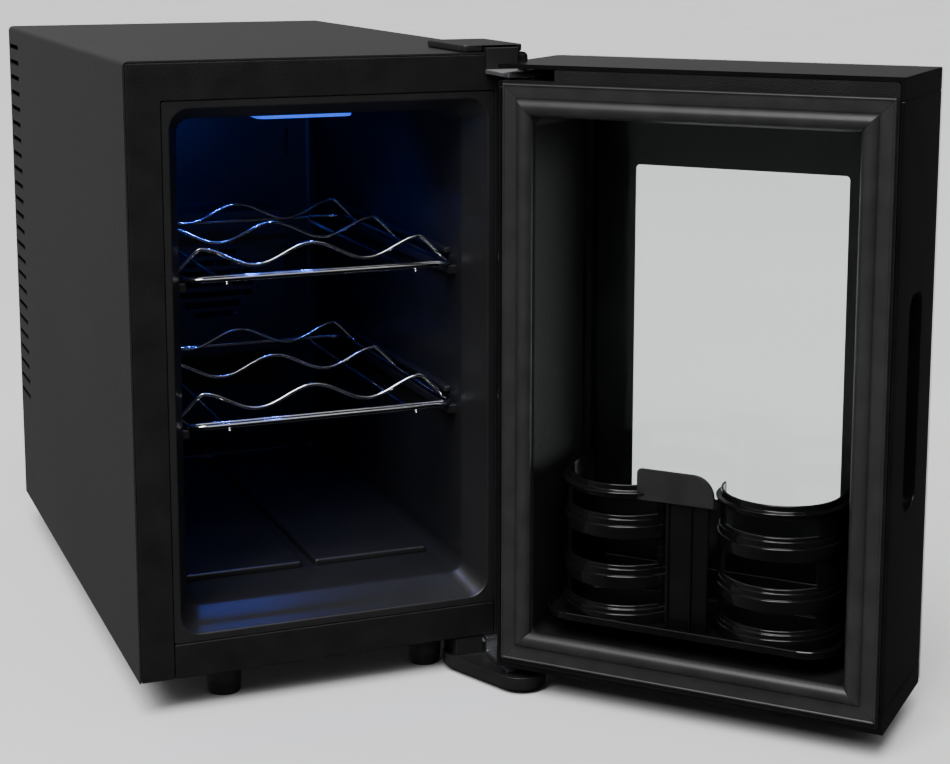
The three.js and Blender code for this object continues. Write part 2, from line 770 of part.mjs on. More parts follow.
function addShelf(parent, level) {
  const z = SHELF.heights[level];
  const { half, front, depth, corner, frameRadius, thinRadius, railSpacing, runnerAt } = SHELF;
  const up = new THREE.Vector3(0, 0, 1);
  const across = new THREE.Vector3(0, 1, 0);
  const label = `shelf_${level}`;
  const loop = wire(shelfFrameLoop(z), up, frameRadius, true, 8);
  piece(parent, `${label}_frame`, loop, 'chrome');
  const inset = corner - railSpacing;
  const bow = corner - Math.sqrt(corner ** 2 - inset ** 2);
  const reach = half - bow - frameRadius - 1.2;
  const railY = front + railSpacing;
  const rail = [new THREE.Vector3(-reach, railY, z), new THREE.Vector3(reach, railY, z)];
  piece(parent, `${label}_front_rail`, wire(rail, up, thinRadius, false, 8), 'chrome');
  const rows = { front: 26, middle: depth / 2, rear: depth - 26 };
  for (const [row, offset] of Object.entries(rows)) {
    const cradle = wire(cradlePoints(front + offset, z), across, thinRadius, false, 6);
    piece(parent, `${label}_cradle_${row}`, cradle, 'chrome');
  }
  const low = z - frameRadius - thinRadius - GAP;
  for (const [side, x] of [['left', -runnerAt], ['right', runnerAt]]) {
    const run = [new THREE.Vector3(x, front - 2, low), new THREE.Vector3(x, front + depth + 2, low)];
    piece(parent, `${label}_runner_${side}`, wire(run, up, thinRadius, false, 8), 'chrome');
  }
}

// ---------------------------------------------------------------- door, drawn closed

function hingeSlot() {
  const { low, high, inward, forward } = HINGE_SLOT;
  return box(HINGE.x - inward, DOOR.halfWidth + EPS, HINGE.y - forward, DOOR_BACK + EPS, low, high);
}

function sidePanel(side) {
  const outer = side * DOOR.halfWidth;
  const inner = side * (DOOR.halfWidth - DOOR.skin);
  const [x0, x1] = side > 0 ? [inner, outer] : [outer, inner];
  const y0 = DOOR_FRONT + GLASS.thickness + GAP;
  const z0 = DOOR.low + DOOR.capHeight + GAP;
  const z1 = DOOR.high - DOOR.capHeight - GAP;
  return box(x0, x1, y0, DOOR_BACK, z0, z1);
}

function gripPocket(grow, x0, x1) {
  const half = GRIP.width / 2 + grow;
  const outline = roundedRect(
    GRIP.middle - half,
    GRIP.middle + half,
    GRIP.low - grow,
    GRIP.high + grow,
    GRIP.width / 3,
  );
  return extrudeX(outline, x0, x1, 5);
}

function latchSidePanel() {
  const face = -DOOR.halfWidth;
  const floor = face + GRIP.depth;
  return build(
    [sidePanel(-1), gripPocket(GRIP.wall, face, floor + GRIP.wall)],
    [gripPocket(0, face - EPS, floor)],
  );
}

// A cap is a plate with a short skirt at each end; the side panels run between the caps.
function doorCap(upper) {
  const { halfWidth, skin, capHeight, low, high } = DOOR;
  const y0 = DOOR_FRONT + GLASS.thickness + GAP;
  const [plate0, plate1] = upper ? [high - skin, high] : [low, low + skin];
  const [skirt0, skirt1] = upper ? [high - capHeight, high] : [low, low + capHeight];
  const cuts = upper ? [hingeSlot()] : [cylinderZ(5.5, HINGE.x, HINGE.y, low - EPS, low + skin + EPS, 24)];
  return build(
    [
      box(-halfWidth, halfWidth, y0, DOOR_BACK, plate0, plate1),
      box(-halfWidth, -halfWidth + skin, y0, DOOR_BACK, skirt0, skirt1),
      box(halfWidth - skin, halfWidth, y0, DOOR_BACK, skirt0, skirt1),
    ],
    cuts,
  );
}

// The moulded inside of the door: a flange round the back face and the walls of the recess.
function doorLiner() {
  const edge = DOOR.skin + GAP;
  const flange = DOOR.halfWidth - edge;
  const { half, low, high, wall } = RECESS;
  const glassFace = PANE_BACK + GAP;
  const seat = RACK.low - GAP;
  const seats = [-1, 1].map((side) => {
    const reach = [side * (half + 1), side * (half - RECESS.seatWidth)];
    const [x0, x1] = [Math.min(...reach), Math.max(...reach)];
    return box(x0, x1, RACK.back + 10, RACK.front - 14, seat - 4, seat);
  });
  const walls = build(
    [
      box(-flange, flange, DOOR_BACK - 3, DOOR_BACK, DOOR.low + edge, DOOR.high - edge),
      box(-half - wall, half + wall, glassFace, DOOR_BACK, low - wall, high + wall),
    ],
    [box(-half, half, glassFace - EPS, DOOR_BACK + EPS, low, high), hingeSlot()],
  );
  return build([walls, ...seats]);
}

function doorInsulation() {
  const edge = DOOR.skin + GAP;
  const half = DOOR.halfWidth - edge;
  const y0 = DOOR_FRONT + GLASS.thickness + GAP;
  const liner = RECESS.wall + GAP;
  const pane = GAP;
  const bushSide = BUSH.half + GAP;
  const clearance = (z0, z1) =>
    box(HINGE.x - BUSH.inward - GAP, half + EPS, HINGE.y - bushSide, HINGE.y + bushSide, z0, z1);
  const panel = CONTROL.half + GAP;
  return build(
    [box(-half, half, y0, DOOR_BACK - 3 - GAP, DOOR.low + edge, DOOR.high - edge)],
    [
      box(
        -RECESS.half - liner,
        RECESS.half + liner,
        y0 - EPS,
        DOOR_BACK,
        RECESS.low - liner,
        RECESS.high + liner,
      ),
      box(
        -GLASS.innerHalf - pane,
        GLASS.innerHalf + pane,
        y0 - EPS,
        PANE_BACK + 2 * GAP,
        GLASS.innerLow - pane,
        GLASS.innerHigh + pane,
      ),
      hingeSlot(),
      clearance(DOOR.low, BUSH.bottomHigh + GAP),
      clearance(BUSH.topLow - GAP, HINGE_SLOT.low + EPS),
      gripPocket(GRIP.wall + 0.5, -DOOR.halfWidth, -DOOR.halfWidth + GRIP.depth + GRIP.wall + 0.5),
      box(-panel, panel, y0 - EPS, y0 + CONTROL.depth + GAP, CONTROL.low - GAP, CONTROL.high + GAP),
    ],
  );
}

// One mitred length of the magnetic seal: four of them are welded into a ring.
function gasketStrip(from, to, inward) {
  const { width, proud } = GASKET;
  const seat = DOOR_BACK + GAP;
  const profile = [
    [0, 0],
    [0, 2.2],
    [0.8, 3],
    [9.8, 3],
    [10.6, 3.8],
    [13, proud],
    [18, proud],
    [20.8, 4.2],
    [width, 2],
    [width, 0],
  ];
  const along = to.clone().sub(from).normalize();
  const place = (corner, mitre) =>
    profile.map(([across, height]) => {
      const p = corner.clone().addScaledVector(inward, across);
      p.addScaledVector(along, mitre * (across + 0.2));
      p.y = seat + height;
      return p;
    });
  const count = profile.length;
  const indices = bandIndices(0, count, count);
  const section = profile.map(([across, height]) => new THREE.Vector2(across, height));
  for (const [a, b, c] of THREE.ShapeUtils.triangulateShape(section, [])) {
    indices.push(a, b, c, a + count, c + count, b + count);
  }
  return indexed([...place(from, 1), ...place(to, -1)], indices);
}

function addGasket(parent) {
  const { half, low, high } = GASKET;
  const at = (x, z) => new THREE.Vector3(x, 0, z);
  for (const [name, from, to, inward] of [
    ['gasket_top', at(-half, high), at(half, high), at(0, -1)],
    ['gasket_bottom', at(-half, low), at(half, low), at(0, 1)],
    ['gasket_latch', at(-half, low), at(-half, high), at(1, 0)],
    ['gasket_hinge', at(half, low), at(half, high), at(-1, 0)],
  ]) {
    piece(parent, name, gasketStrip(from, to, inward), 'gasketGrey');
  }
}

function addGlazing(parent) {
  const { halfWidth, low, high } = DOOR;
  const { thickness, innerHalf, innerLow, innerHigh } = GLASS;
  const outer = extrudeY(
    roundedRect(-halfWidth, halfWidth, low, high, 3),
    DOOR_FRONT,
    DOOR_FRONT + thickness,
    3,
  );
  piece(parent, 'outer_glass', outer, 'windowGlass');
  const paneFront = PANE_BACK - thickness;
  const inner = box(-innerHalf, innerHalf, paneFront, paneFront + thickness, innerLow, innerHigh);
  piece(parent, 'inner_glass', inner, 'windowGlass');
  const bar = 12;
  const spacerY = [DOOR_FRONT + thickness + GAP, paneFront - GAP];
  const spacer = build(
    [box(-innerHalf, innerHalf, spacerY[0], spacerY[1], innerLow, innerHigh)],
    [
      box(
        -innerHalf + bar,
        innerHalf - bar,
        spacerY[0] - EPS,
        spacerY[1] + EPS,
        innerLow + bar,
        innerHigh - bar,
      ),
    ],
  );
  piece(parent, 'glass_spacer', spacer, 'aluminium');
}

// ---------------------------------------------------------------- bottle rack in the door

// The plan of one well's wall: half a circle towards the cabinet with straight legs behind it.
function wellPlan(centre, inner, outer, back) {
  const shape = new THREE.Shape();
  const y = RACK.wellY;
  shape.moveTo(centre + outer, back);
  shape.lineTo(centre + outer, y);
  shape.absarc(centre, y, outer, 0, Math.PI, false);
  shape.lineTo(centre - outer, back);
  shape.lineTo(centre - inner, back);
  shape.lineTo(centre - inner, y);
  shape.absarc(centre, y, inner, Math.PI, 0, true);
  shape.lineTo(centre + inner, back);
  return shape;
}

// The raised tab between the wells: square at the hinge end and well rounded at the other.
function rackTab() {
  const { rim, tabTop } = RACK;
  const foot = rim - 10;
  const [left, right] = [-17, 39];
  const [bend, corner] = [15, 3];
  const tab = new THREE.Shape();
  tab.moveTo(right, foot);
  tab.lineTo(right, tabTop - corner);
  tab.absarc(right - corner, tabTop - corner, corner, 0, Math.PI / 2, false);
  tab.lineTo(left + bend, tabTop);
  tab.absarc(left + bend, tabTop - bend, bend, Math.PI / 2, Math.PI, false);
  tab.lineTo(left, foot);
  return tab;
}

function doorRack() {
  const { low, rim, middle, wellOffset, wellInner, wall, wellY, half, front, back } = RACK;
  const { corner, trayHeight, flare, windows, beads, ribs } = RACK;
  const wellOuter = wellInner + wall;
  const parts = [];
  const cuts = [];
  for (const centre of [middle - wellOffset, middle + wellOffset]) {
    parts.push(extrudeZ(wellPlan(centre, wellInner, wellOuter, back + 1), low, rim, 10));
    const lip = wellPlan(centre, wellInner + 1, wellOuter + flare, wellY);
    parts.push(extrudeZ(lip, rim - 8, rim - 5, 10));
    for (const z of beads) {
      parts.push(extrudeZ(wellPlan(centre, wellInner + 1, wellOuter + 1.2, wellY), z, z + 2, 10));
    }
    for (const [z0, z1] of windows) {
      const opening = roundedRect(centre - 33, centre + 33, z0, z1, 4);
      cuts.push(extrudeY(opening, wellY + 6, front + 6, 2));
    }
  }
  const wells = build(parts, cuts);
  const plateY = front - 12;
  const trayWall = 2.2;
  const tray = (inset) =>
    roundedRect(
      middle - half + inset,
      middle + half - inset,
      back + inset,
      front - inset,
      corner - inset,
    );
  const base = build(
    [extrudeZ(tray(0), low, low + trayHeight, 6)],
    [extrudeZ(tray(trayWall), low + 2.5, low + trayHeight + 1, 6)],
  );
  const gap = wellOffset - wellOuter + 1;
  const backHalf = half - corner + 4;
  return build([
    wells,
    base,
    box(middle - gap, middle + gap, plateY - 2.5, plateY, low, rim),
    box(middle - backHalf, middle + backHalf, back, back + wall, low, 62),
    extrudeY(rackTab(), plateY, plateY + 2.8, 4),
    ...ribs.map((x) => box(x - 1, x + 1, plateY - 1, plateY + 2.6, low, rim - 9)),
  ]);
}

// ---------------------------------------------------------------- assembly

function addCabinet(parent) {
  piece(parent, 'outer_shell', outerShell(), 'sheetBlack');
  piece(parent, 'base_pan', basePan(), 'steel');
  piece(parent, 'rear_grille', rearGrille(), 'sheetBlack');
  piece(parent, 'front_frame', frontFrame(), 'grainBlack');
  piece(parent, 'sill_trim', sillTrim(), 'grainBlack');
  piece(parent, 'inner_liner', innerLiner(), 'linerBlack');
  piece(parent, 'insulation', insulation(), 'foam');
  piece(parent, 'top_hinge_plate', topHingePlate(), 'steel');
  piece(parent, 'top_hinge_cover', topHingeCover(), 'glossBlack');
  piece(parent, 'top_hinge_pin', turned(topHingePin(), HINGE.x, HINGE.y, 32), 'steel');
  piece(parent, 'lower_hinge_plate', lowerHingePlate(), 'steel');
  piece(parent, 'lower_hinge_cover', lowerHingeCover(), 'grainBlack');
  piece(parent, 'lower_hinge_pin', turned(lowerHingePin(), HINGE.x, HINGE.y, 32), 'steel');
  addFeet(parent);
  addCooling(parent);
}

// The door is drawn closed about its hinge axis and then swung open.
function addDoor(parent) {
  const door = new THREE.Group();
  door.position.set(HINGE.x, HINGE.y, 0);
  door.rotation.z = DOOR.openAngle;
  const drawn = new THREE.Group();
  drawn.position.set(-HINGE.x, -HINGE.y, 0);
  piece(drawn, 'door_side_latch', latchSidePanel(), 'glossBlack');
  piece(drawn, 'door_side_hinge', sidePanel(1), 'glossBlack');
  piece(drawn, 'door_cap_top', doorCap(true), 'glossBlack');
  piece(drawn, 'door_cap_bottom', doorCap(false), 'glossBlack');
  piece(drawn, 'door_liner', doorLiner(), 'grainBlack');
  piece(drawn, 'door_insulation', doorInsulation(), 'foam');
  const topBush = hingeBush(BUSH.topLow, HINGE_SLOT.low - GAP);
  piece(drawn, 'hinge_bush_top', topBush, 'nylon');
  const bottomBush = hingeBush(DOOR.low + DOOR.skin + GAP, BUSH.bottomHigh);
  piece(drawn, 'hinge_bush_bottom', bottomBush, 'nylon');
  const panelY = DOOR_FRONT + GLASS.thickness + GAP;
  const { half, low, high, depth } = CONTROL;
  const panel = box(-half, half, panelY, panelY + depth, low, high);
  piece(drawn, 'control_panel', panel, 'glossBlack');
  addGasket(drawn);
  addGlazing(drawn);
  piece(drawn, 'door_rack', doorRack(), 'glossBlack');
  door.add(drawn);
  parent.add(door);
}

const group = new THREE.Group();
addCabinet(group);
for (const level of Object.keys(SHELF.heights)) {
  addShelf(group, level);
}
addDoor(group);

export default group;
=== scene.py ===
"""A free-standing wine cooler with its door open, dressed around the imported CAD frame.

Shapes are drawn in millimetres and turned into metres as each piece is made.
Door and rack pieces are drawn with the door closed and then swung to the rest pose.
"""

import json
import math

import bmesh
import bpy
from mathutils import Matrix, Vector


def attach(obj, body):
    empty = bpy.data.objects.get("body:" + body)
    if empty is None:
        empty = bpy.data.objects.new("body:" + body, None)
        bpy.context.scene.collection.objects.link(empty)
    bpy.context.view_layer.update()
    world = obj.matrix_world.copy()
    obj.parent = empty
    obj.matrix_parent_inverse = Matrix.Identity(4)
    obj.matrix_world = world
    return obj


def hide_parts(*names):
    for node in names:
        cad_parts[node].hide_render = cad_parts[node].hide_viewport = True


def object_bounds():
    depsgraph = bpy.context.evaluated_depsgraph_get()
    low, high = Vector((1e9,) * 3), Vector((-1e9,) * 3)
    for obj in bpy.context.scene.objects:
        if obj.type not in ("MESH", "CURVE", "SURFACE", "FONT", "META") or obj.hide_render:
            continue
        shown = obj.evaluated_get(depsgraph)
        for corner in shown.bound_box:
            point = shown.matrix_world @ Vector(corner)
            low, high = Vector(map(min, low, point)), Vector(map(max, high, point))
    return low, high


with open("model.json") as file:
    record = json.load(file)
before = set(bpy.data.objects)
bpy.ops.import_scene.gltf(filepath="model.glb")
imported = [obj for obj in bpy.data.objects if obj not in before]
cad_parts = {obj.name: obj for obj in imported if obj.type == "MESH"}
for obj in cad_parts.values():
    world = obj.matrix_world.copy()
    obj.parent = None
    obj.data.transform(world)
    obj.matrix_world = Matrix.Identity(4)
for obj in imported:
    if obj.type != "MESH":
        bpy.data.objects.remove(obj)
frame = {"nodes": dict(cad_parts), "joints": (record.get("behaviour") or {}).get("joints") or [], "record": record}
CAD_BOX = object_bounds()

# ---------------------------------------------------------------- measures from the frame

MM = 0.001
HINGE = next(j for j in frame["joints"] if j["name"] == "door_hinge")
PIVOT = Vector((HINGE["pos_m"][0], HINGE["pos_m"][1], 0))
OPEN_ANGLE = math.radians(-HINGE["range_deg"][0])
SWING = Matrix.Translation(PIVOT) @ Matrix.Rotation(OPEN_ANGLE, 4, "Z") @ Matrix.Translation(-PIVOT)


def measure(node, closed=False):
    """Lowest and highest corner of a CAD node in millimetres, with the door closed if asked."""
    back = SWING.inverted() if closed else Matrix.Identity(4)
    points = [back @ v.co for v in frame["nodes"][node].data.vertices]
    low = Vector(min(p[i] for p in points) for i in range(3)) / MM
    high = Vector(max(p[i] for p in points) for i in range(3)) / MM
    return low, high


LINER_LOW, LINER_HIGH = measure("inner_liner")
DOOR_LOW, DOOR_HIGH = measure("outer_glass", closed=True)
PANE_BACK = measure("inner_glass", closed=True)[1].y
FLANGE_LOW, FLANGE_HIGH = measure("door_liner", closed=True)
RACK_LOW, RACK_HIGH = measure("door_rack", closed=True)
FRONT = measure("front_frame")[0].y
BACK = measure("rear_grille")[1].y
DOOR_BACK = FLANGE_HIGH.y

# ---------------------------------------------------------------- driving dimensions

MOUTH = {"half": 114, "low": 33, "high": 399, "radius": 14, "slope": 28}
INTERIOR = {"half": 104, "low": 45, "high": 390, "radius": 10, "back": 140}
LINER_WALL = 2.2
SHELF_WIRE = 2.0
THIN_WIRE = 1.5
RECESS = {"half": 112.5, "low": 22, "high": 391, "radius": 7, "wall": 2.5, "seat": 12}
GASKET_WIDTH = 22
WINDOW = {"left": -80, "right": 77, "low": 108, "high": 350, "radius": 3}
HINGE_SLOT = {"inward": 32, "forward": 34, "low": 415.5, "high": 423.9}
RACK = {"middle": (RACK_LOW.x + RACK_HIGH.x) / 2, "corner": 25, "tray": 6, "rim": RACK_HIGH.z - 12}
WELL = {"offset": 57, "inner": 40, "y": DOOR_BACK - 47.5, "opening": 33}
WELL_BANDS = ((64, 81), (100, 117))
WELL_BASE = 52
CORNER_STEPS = 10
LIGHT_POWER = {"sun": 2.9, "key": 44, "led": 0.55}
FLOOR_REACH = 60.0
CAMERA = {
    "place": (-0.3990, -1.5074, 0.5185),
    "yaw": 21.675,
    "pitch": -9.208,
    "lens": 72.82,
    "shift": (0.005, -0.15),
}

# ---------------------------------------------------------------- materials


class Nodes:
    """A short way to add and wire shader nodes in one material."""

    def __init__(self, name):
        self.material = bpy.data.materials.new(name)
        self.material.use_nodes = True
        self.tree = self.material.node_tree
        self.shader = self.tree.nodes["Principled BSDF"]
        self.place = self.add("ShaderNodeTexCoord").outputs["Object"]

    def add(self, kind, **values):
        node = self.tree.nodes.new(kind)
        for key, value in values.items():
            if key in node.inputs:
                node.inputs[key].default_value = value
            else:
                setattr(node, key, value)
        return node

    def link(self, source, target):
        self.tree.links.new(source, target)

    def stretched(self, scale):
        mapping = self.add("ShaderNodeMapping")
        mapping.inputs["Scale"].default_value = scale
        self.link(self.place, mapping.inputs["Vector"])
        return mapping.outputs["Vector"]

    def noise(self, scale, detail=3.0, vector=None):
        node = self.add("ShaderNodeTexNoise", Scale=scale, Detail=detail)
        self.link(vector or self.place, node.inputs["Vector"])
        return node.outputs["Fac"]

    def cells(self, scale):
        node = self.add("ShaderNodeTexVoronoi", Scale=scale)
        self.link(self.place, node.inputs["Vector"])
        return node.outputs["Distance"]

    def ramp(self, value, low, high, start=0.3, end=0.7):
        node = self.add("ShaderNodeMapRange")
        node.inputs["From Min"].default_value = start
        node.inputs["From Max"].default_value = end
        node.inputs["To Min"].default_value = low
        node.inputs["To Max"].default_value = high
        self.link(value, node.inputs["Value"])
        return node.outputs["Result"]

    def blend_colours(self, value, dark, light):
        node = self.add("ShaderNodeMix", data_type="RGBA")
        for socket in node.inputs:
            if socket.type == "RGBA":
                socket.default_value = (*(dark if socket.name == "A" else light), 1)
        self.link(value, node.inputs["Factor"])
        return next(s for s in node.outputs if s.type == "RGBA")

    def bump(self, height, distance, strength=1.0, under=None):
        node = self.add("ShaderNodeBump", Strength=strength, Distance=distance)
        self.link(height, node.inputs["Height"])
        if under:
            self.link(under, node.inputs["Normal"])
        self.link(node.outputs["Normal"], self.shader.inputs["Normal"])
        return node.outputs["Normal"]

    def set(self, **values):
        for key, value in values.items():
            self.shader.inputs[key.replace("_", " ")].default_value = value


def varied(name, dark, light, rough, mottle=22.0, metallic=0.0, fine=900.0):
    """A shader whose colour and roughness drift slowly over the surface."""
    n = Nodes(name)
    drift = n.noise(mottle, 4.0)
    colour = n.blend_colours(n.ramp(drift, 0, 1), dark, light)
    n.link(colour, n.shader.inputs["Base Color"])
    n.link(n.ramp(n.noise(fine, 3.0), rough[0], rough[1]), n.shader.inputs["Roughness"])
    n.shader.inputs["Metallic"].default_value = metallic
    return n


def painted_sheet():
    n = varied("painted_sheet", (0.012, 0.012, 0.0125), (0.015, 0.015, 0.0155), (0.38, 0.46), 6.0)
    ripple = n.bump(n.noise(1300, 2.0), 0.00005, 0.45)
    n.bump(n.noise(5, 1.0), 0.0006, 0.10, ripple)
    return n.material


def grained_plastic(name="grained_plastic", rough=(0.42, 0.56), lift=1.0):
    dark, light = (0.0055 * lift,) * 3, (0.0095 * lift,) * 3
    n = varied(name, dark, light, rough, 40.0)
    grain = n.bump(n.cells(1150), 0.00022, 0.75)
    n.bump(n.noise(2100, 3.0), 0.00010, 0.5, grain)
    n.set(Specular_IOR_Level=0.26)
    return n.material


def liner_plastic():
    n = varied("liner_plastic", (0.010, 0.010, 0.0105), (0.014, 0.014, 0.015), (0.30, 0.42), 16.0)
    haze = n.bump(n.noise(900, 2.0), 0.00005, 0.4)
    n.bump(n.noise(9, 1.0), 0.0012, 0.22, haze)
    return n.material


def gloss_plastic():
    n = varied("gloss_plastic", (0.003, 0.003, 0.003), (0.005, 0.005, 0.0055), (0.07, 0.13), 30.0)
    n.bump(n.noise(22, 1.0), 0.0003, 0.12)
    n.set(Specular_IOR_Level=0.4)
    return n.material


def seal_rubber():
    n = varied("seal_rubber", (0.015, 0.015, 0.0155), (0.022, 0.022, 0.0225), (0.34, 0.46), 60.0)
    n.bump(n.noise(1400, 3.0), 0.00008, 0.5)
    return n.material


def foot_rubber():
    n = varied("foot_rubber", (0.008, 0.008, 0.008), (0.016, 0.016, 0.016), (0.55, 0.75), 90.0)
    n.bump(n.noise(1200, 4.0), 0.00015, 0.7)
    return n.material


def plated(name, dark, light, rough, stretch=(30, 30, 30)):
    """Bright metal with faint drawing lines along the axis that is stretched least."""
    n = Nodes(name)
    lines = n.noise(14.0, 6.0, n.stretched(stretch))
    colour = n.blend_colours(n.ramp(lines, 0, 1), dark, light)
    n.link(colour, n.shader.inputs["Base Color"])
    n.link(n.ramp(lines, rough[0], rough[1]), n.shader.inputs["Roughness"])
    n.set(Metallic=1.0)
    n.bump(lines, 0.00004, 0.4)
    return n.material


def part_painted():
    """The hinge strap: bare where the door turns on it, painted black where it wraps the cabinet."""
    n = Nodes("part_painted_steel")
    lines = n.noise(14.0, 6.0, n.stretched((6, 90, 90)))
    split = n.add("ShaderNodeSeparateXYZ")
    n.link(n.place, split.inputs["Vector"])
    tip = measure("top_hinge_plate")[0].z * MM
    paint = n.ramp(split.outputs["Z"], 0, 1, tip + 0.0028, tip + 0.0032)
    bare = n.blend_colours(n.ramp(lines, 0, 1), (0.48, 0.48, 0.50), (0.62, 0.63, 0.65))
    mix = n.add("ShaderNodeMix", data_type="RGBA")
    colour_sockets = [x for x in mix.inputs if x.type == "RGBA"]
    n.link(bare, colour_sockets[0])
    colour_sockets[1].default_value = (0.009, 0.009, 0.0095, 1)
    n.link(paint, mix.inputs["Factor"])
    n.link(next(x for x in mix.outputs if x.type == "RGBA"), n.shader.inputs["Base Color"])
    n.link(n.ramp(paint, 1, 0, 0, 1), n.shader.inputs["Metallic"])
    n.link(n.ramp(lines, 0.44, 0.56), n.shader.inputs["Roughness"])
    n.bump(lines, 0.00004, 0.4)
    return n.material


def plain_moulding(name, dark, light, rough):
    n = varied(name, dark, light, rough, 35.0)
    n.bump(n.noise(800, 3.0), 0.00008, 0.5)
    return n.material


def rigid_foam():
    n = varied("foam", (0.55, 0.46, 0.27), (0.72, 0.63, 0.41), (0.85, 0.98), 60.0)
    n.bump(n.cells(420), 0.0008, 0.9)
    return n.material


def window_glass(name="window_glass", ior=1.3):
    n = Nodes(name)
    n.set(Transmission_Weight=1.0, IOR=ior, Metallic=0.0)
    n.shader.inputs["Base Color"].default_value = (0.93, 0.965, 0.96, 1)
    film = n.noise(7.0, 5.0)
    n.link(n.ramp(film, 0.0, 0.03), n.shader.inputs["Roughness"])
    return n.material


def border_print():
    n = varied("border_print", (0.003, 0.003, 0.003), (0.005, 0.005, 0.005), (0.3, 0.4), 25.0)
    n.set(Specular_IOR_Level=0.08)
    return n.material


def touch_print():
    n = varied("touch_print", (0.30, 0.32, 0.34), (0.38, 0.40, 0.42), (0.4, 0.5), 60.0)
    return n.material


def lamp_lens():
    n = varied("lamp_lens", (0.02, 0.05, 0.35), (0.03, 0.08, 0.50), (0.2, 0.3), 80.0)
    n.shader.inputs["Emission Color"].default_value = (0.02, 0.10, 1.0, 1)
    n.set(Emission_Strength=1.2)
    return n.material


def led_die():
    n = varied("led_die", (0.10, 0.20, 0.90), (0.15, 0.28, 1.0), (0.1, 0.2), 120.0)
    n.shader.inputs["Emission Color"].default_value = (0.05, 0.18, 1.0, 1)
    n.set(Emission_Strength=30.0)
    return n.material


MATERIAL = {
    "painted_sheet": painted_sheet(),
    "grained_plastic": grained_plastic(),
    "liner_plastic": liner_plastic(),
    "gloss_plastic": gloss_plastic(),
    "satin_plastic": plain_moulding("satin_plastic", (0.007,) * 3, (0.012,) * 3, (0.34, 0.46)),
    "tab_plastic": grained_plastic("tab_plastic", (0.46, 0.6), 1.9),
    "seal_rubber": seal_rubber(),
    "foot_rubber": foot_rubber(),
    "chrome_wire": plated("chrome_wire", (0.66, 0.67, 0.69), (0.80, 0.81, 0.83), (0.07, 0.16)),
    "zinc_steel": plated("zinc_steel", (0.48, 0.48, 0.50), (0.62, 0.63, 0.65), (0.24, 0.38), (6, 90, 90)),
    "part_painted": part_painted(),
    "dark_foam": plain_moulding("dark_foam", (0.006,) * 3, (0.012,) * 3, (0.8, 0.95)),
    "aluminium": plated("aluminium", (0.52, 0.53, 0.55), (0.64, 0.65, 0.67), (0.30, 0.42), (90, 8, 8)),
    "spacer_aluminium": plated("spacer_aluminium", (0.02,) * 3, (0.04,) * 3, (0.30, 0.42)),
    "ceramic": plain_moulding("ceramic", (0.72, 0.71, 0.68), (0.82, 0.81, 0.78), (0.3, 0.45)),
    "nylon": plain_moulding("nylon", (0.62, 0.60, 0.54), (0.72, 0.70, 0.64), (0.4, 0.5)),
    "foam": rigid_foam(),
    "window_glass": window_glass(),
    "coated_glass": window_glass("coated_glass", 1.14),
    "border_print": border_print(),
    "touch_print": touch_print(),
    "lamp_lens": lamp_lens(),
    "led_die": led_die(),
}

# ---------------------------------------------------------------- mesh helpers


def rounded_rect(x0, x1, z0, z1, radius, steps=CORNER_STEPS):
    """Corner arcs of a rectangle in two axes, always the same number of points."""
    centres = (
        (x1 - radius, z0 + radius),
        (x1 - radius, z1 - radius),
        (x0 + radius, z1 - radius),
        (x0 + radius, z0 + radius),
    )
    points = []
    for quarter, (x, z) in enumerate(centres):
        for i in range(steps + 1):
            angle = math.pi / 2 * (quarter - 1 + i / steps)
            points.append((x + radius * math.cos(angle), z + radius * math.sin(angle)))
    return points


def band_faces(bm, ring_a, ring_b):
    count = len(ring_a)
    for i in range(count):
        j = (i + 1) % count
        bm.faces.new((ring_a[i], ring_a[j], ring_b[j], ring_b[i]))


def loft(bm, rings, closed=False):
    """A closed skin through rings of points: joined into a loop, or filled at both ends."""
    made = [[bm.verts.new(p) for p in ring] for ring in rings]
    for a, b in zip(made, made[1:]):
        band_faces(bm, a, b)
    if closed:
        band_faces(bm, made[-1], made[0])
    else:
        bm.faces.new(made[0])
        bm.faces.new(made[-1])


def tube(bm, points, radius, closed=False, sides=12):
    """A round wire along points, with its ends rounded off."""
    count = len(points)
    side = None
    rings = []
    for i, p in enumerate(points):
        before = points[(i - 1) % count] if closed else points[max(i - 1, 0)]
        after = points[(i + 1) % count] if closed else points[min(i + 1, count - 1)]
        along = (after - before).normalized()
        if side is None:
            side = along.orthogonal().normalized()
        side = (side - along * side.dot(along)).normalized()
        up = along.cross(side)
        caps = [(0, 1)]
        if not closed and i == 0:
            caps = [(-0.8, 0.35), (-0.5, 0.8), (0, 1)]
        if not closed and i == count - 1:
            caps = [(0, 1), (0.5, 0.8), (0.8, 0.35)]
        for shift, size in caps:
            centre = p + along * shift * radius
            rings.append(
                [
                    centre + (side * math.cos(a) + up * math.sin(a)) * radius * size
                    for a in (2 * math.pi * k / sides for k in range(sides))
                ]
            )
    if closed:
        twist = match_turn(rings[-1], rings[0])
        rings[-1] = rings[-1][twist:] + rings[-1][:twist]
    loft(bm, rings, closed)


def match_turn(ring, other):
    """How far ring's numbering has to turn so that its first point is nearest the other's."""
    return min(range(len(ring)), key=lambda k: (ring[k] - other[0]).length)


def turned(bm, profile, centre, axis="Z", steps=48):
    """A body turned about an axis through centre, from (radius, height) pairs off the axis."""
    rings = []
    for radius, height in profile:
        ring = []
        for k in range(steps):
            a = 2 * math.pi * k / steps
            flat = (radius * math.cos(a), radius * math.sin(a))
            p = (flat[0], flat[1], height) if axis == "Z" else (flat[0], height, flat[1])
            ring.append(Vector(p) + Vector(centre))
        rings.append(ring)
    loft(bm, rings)


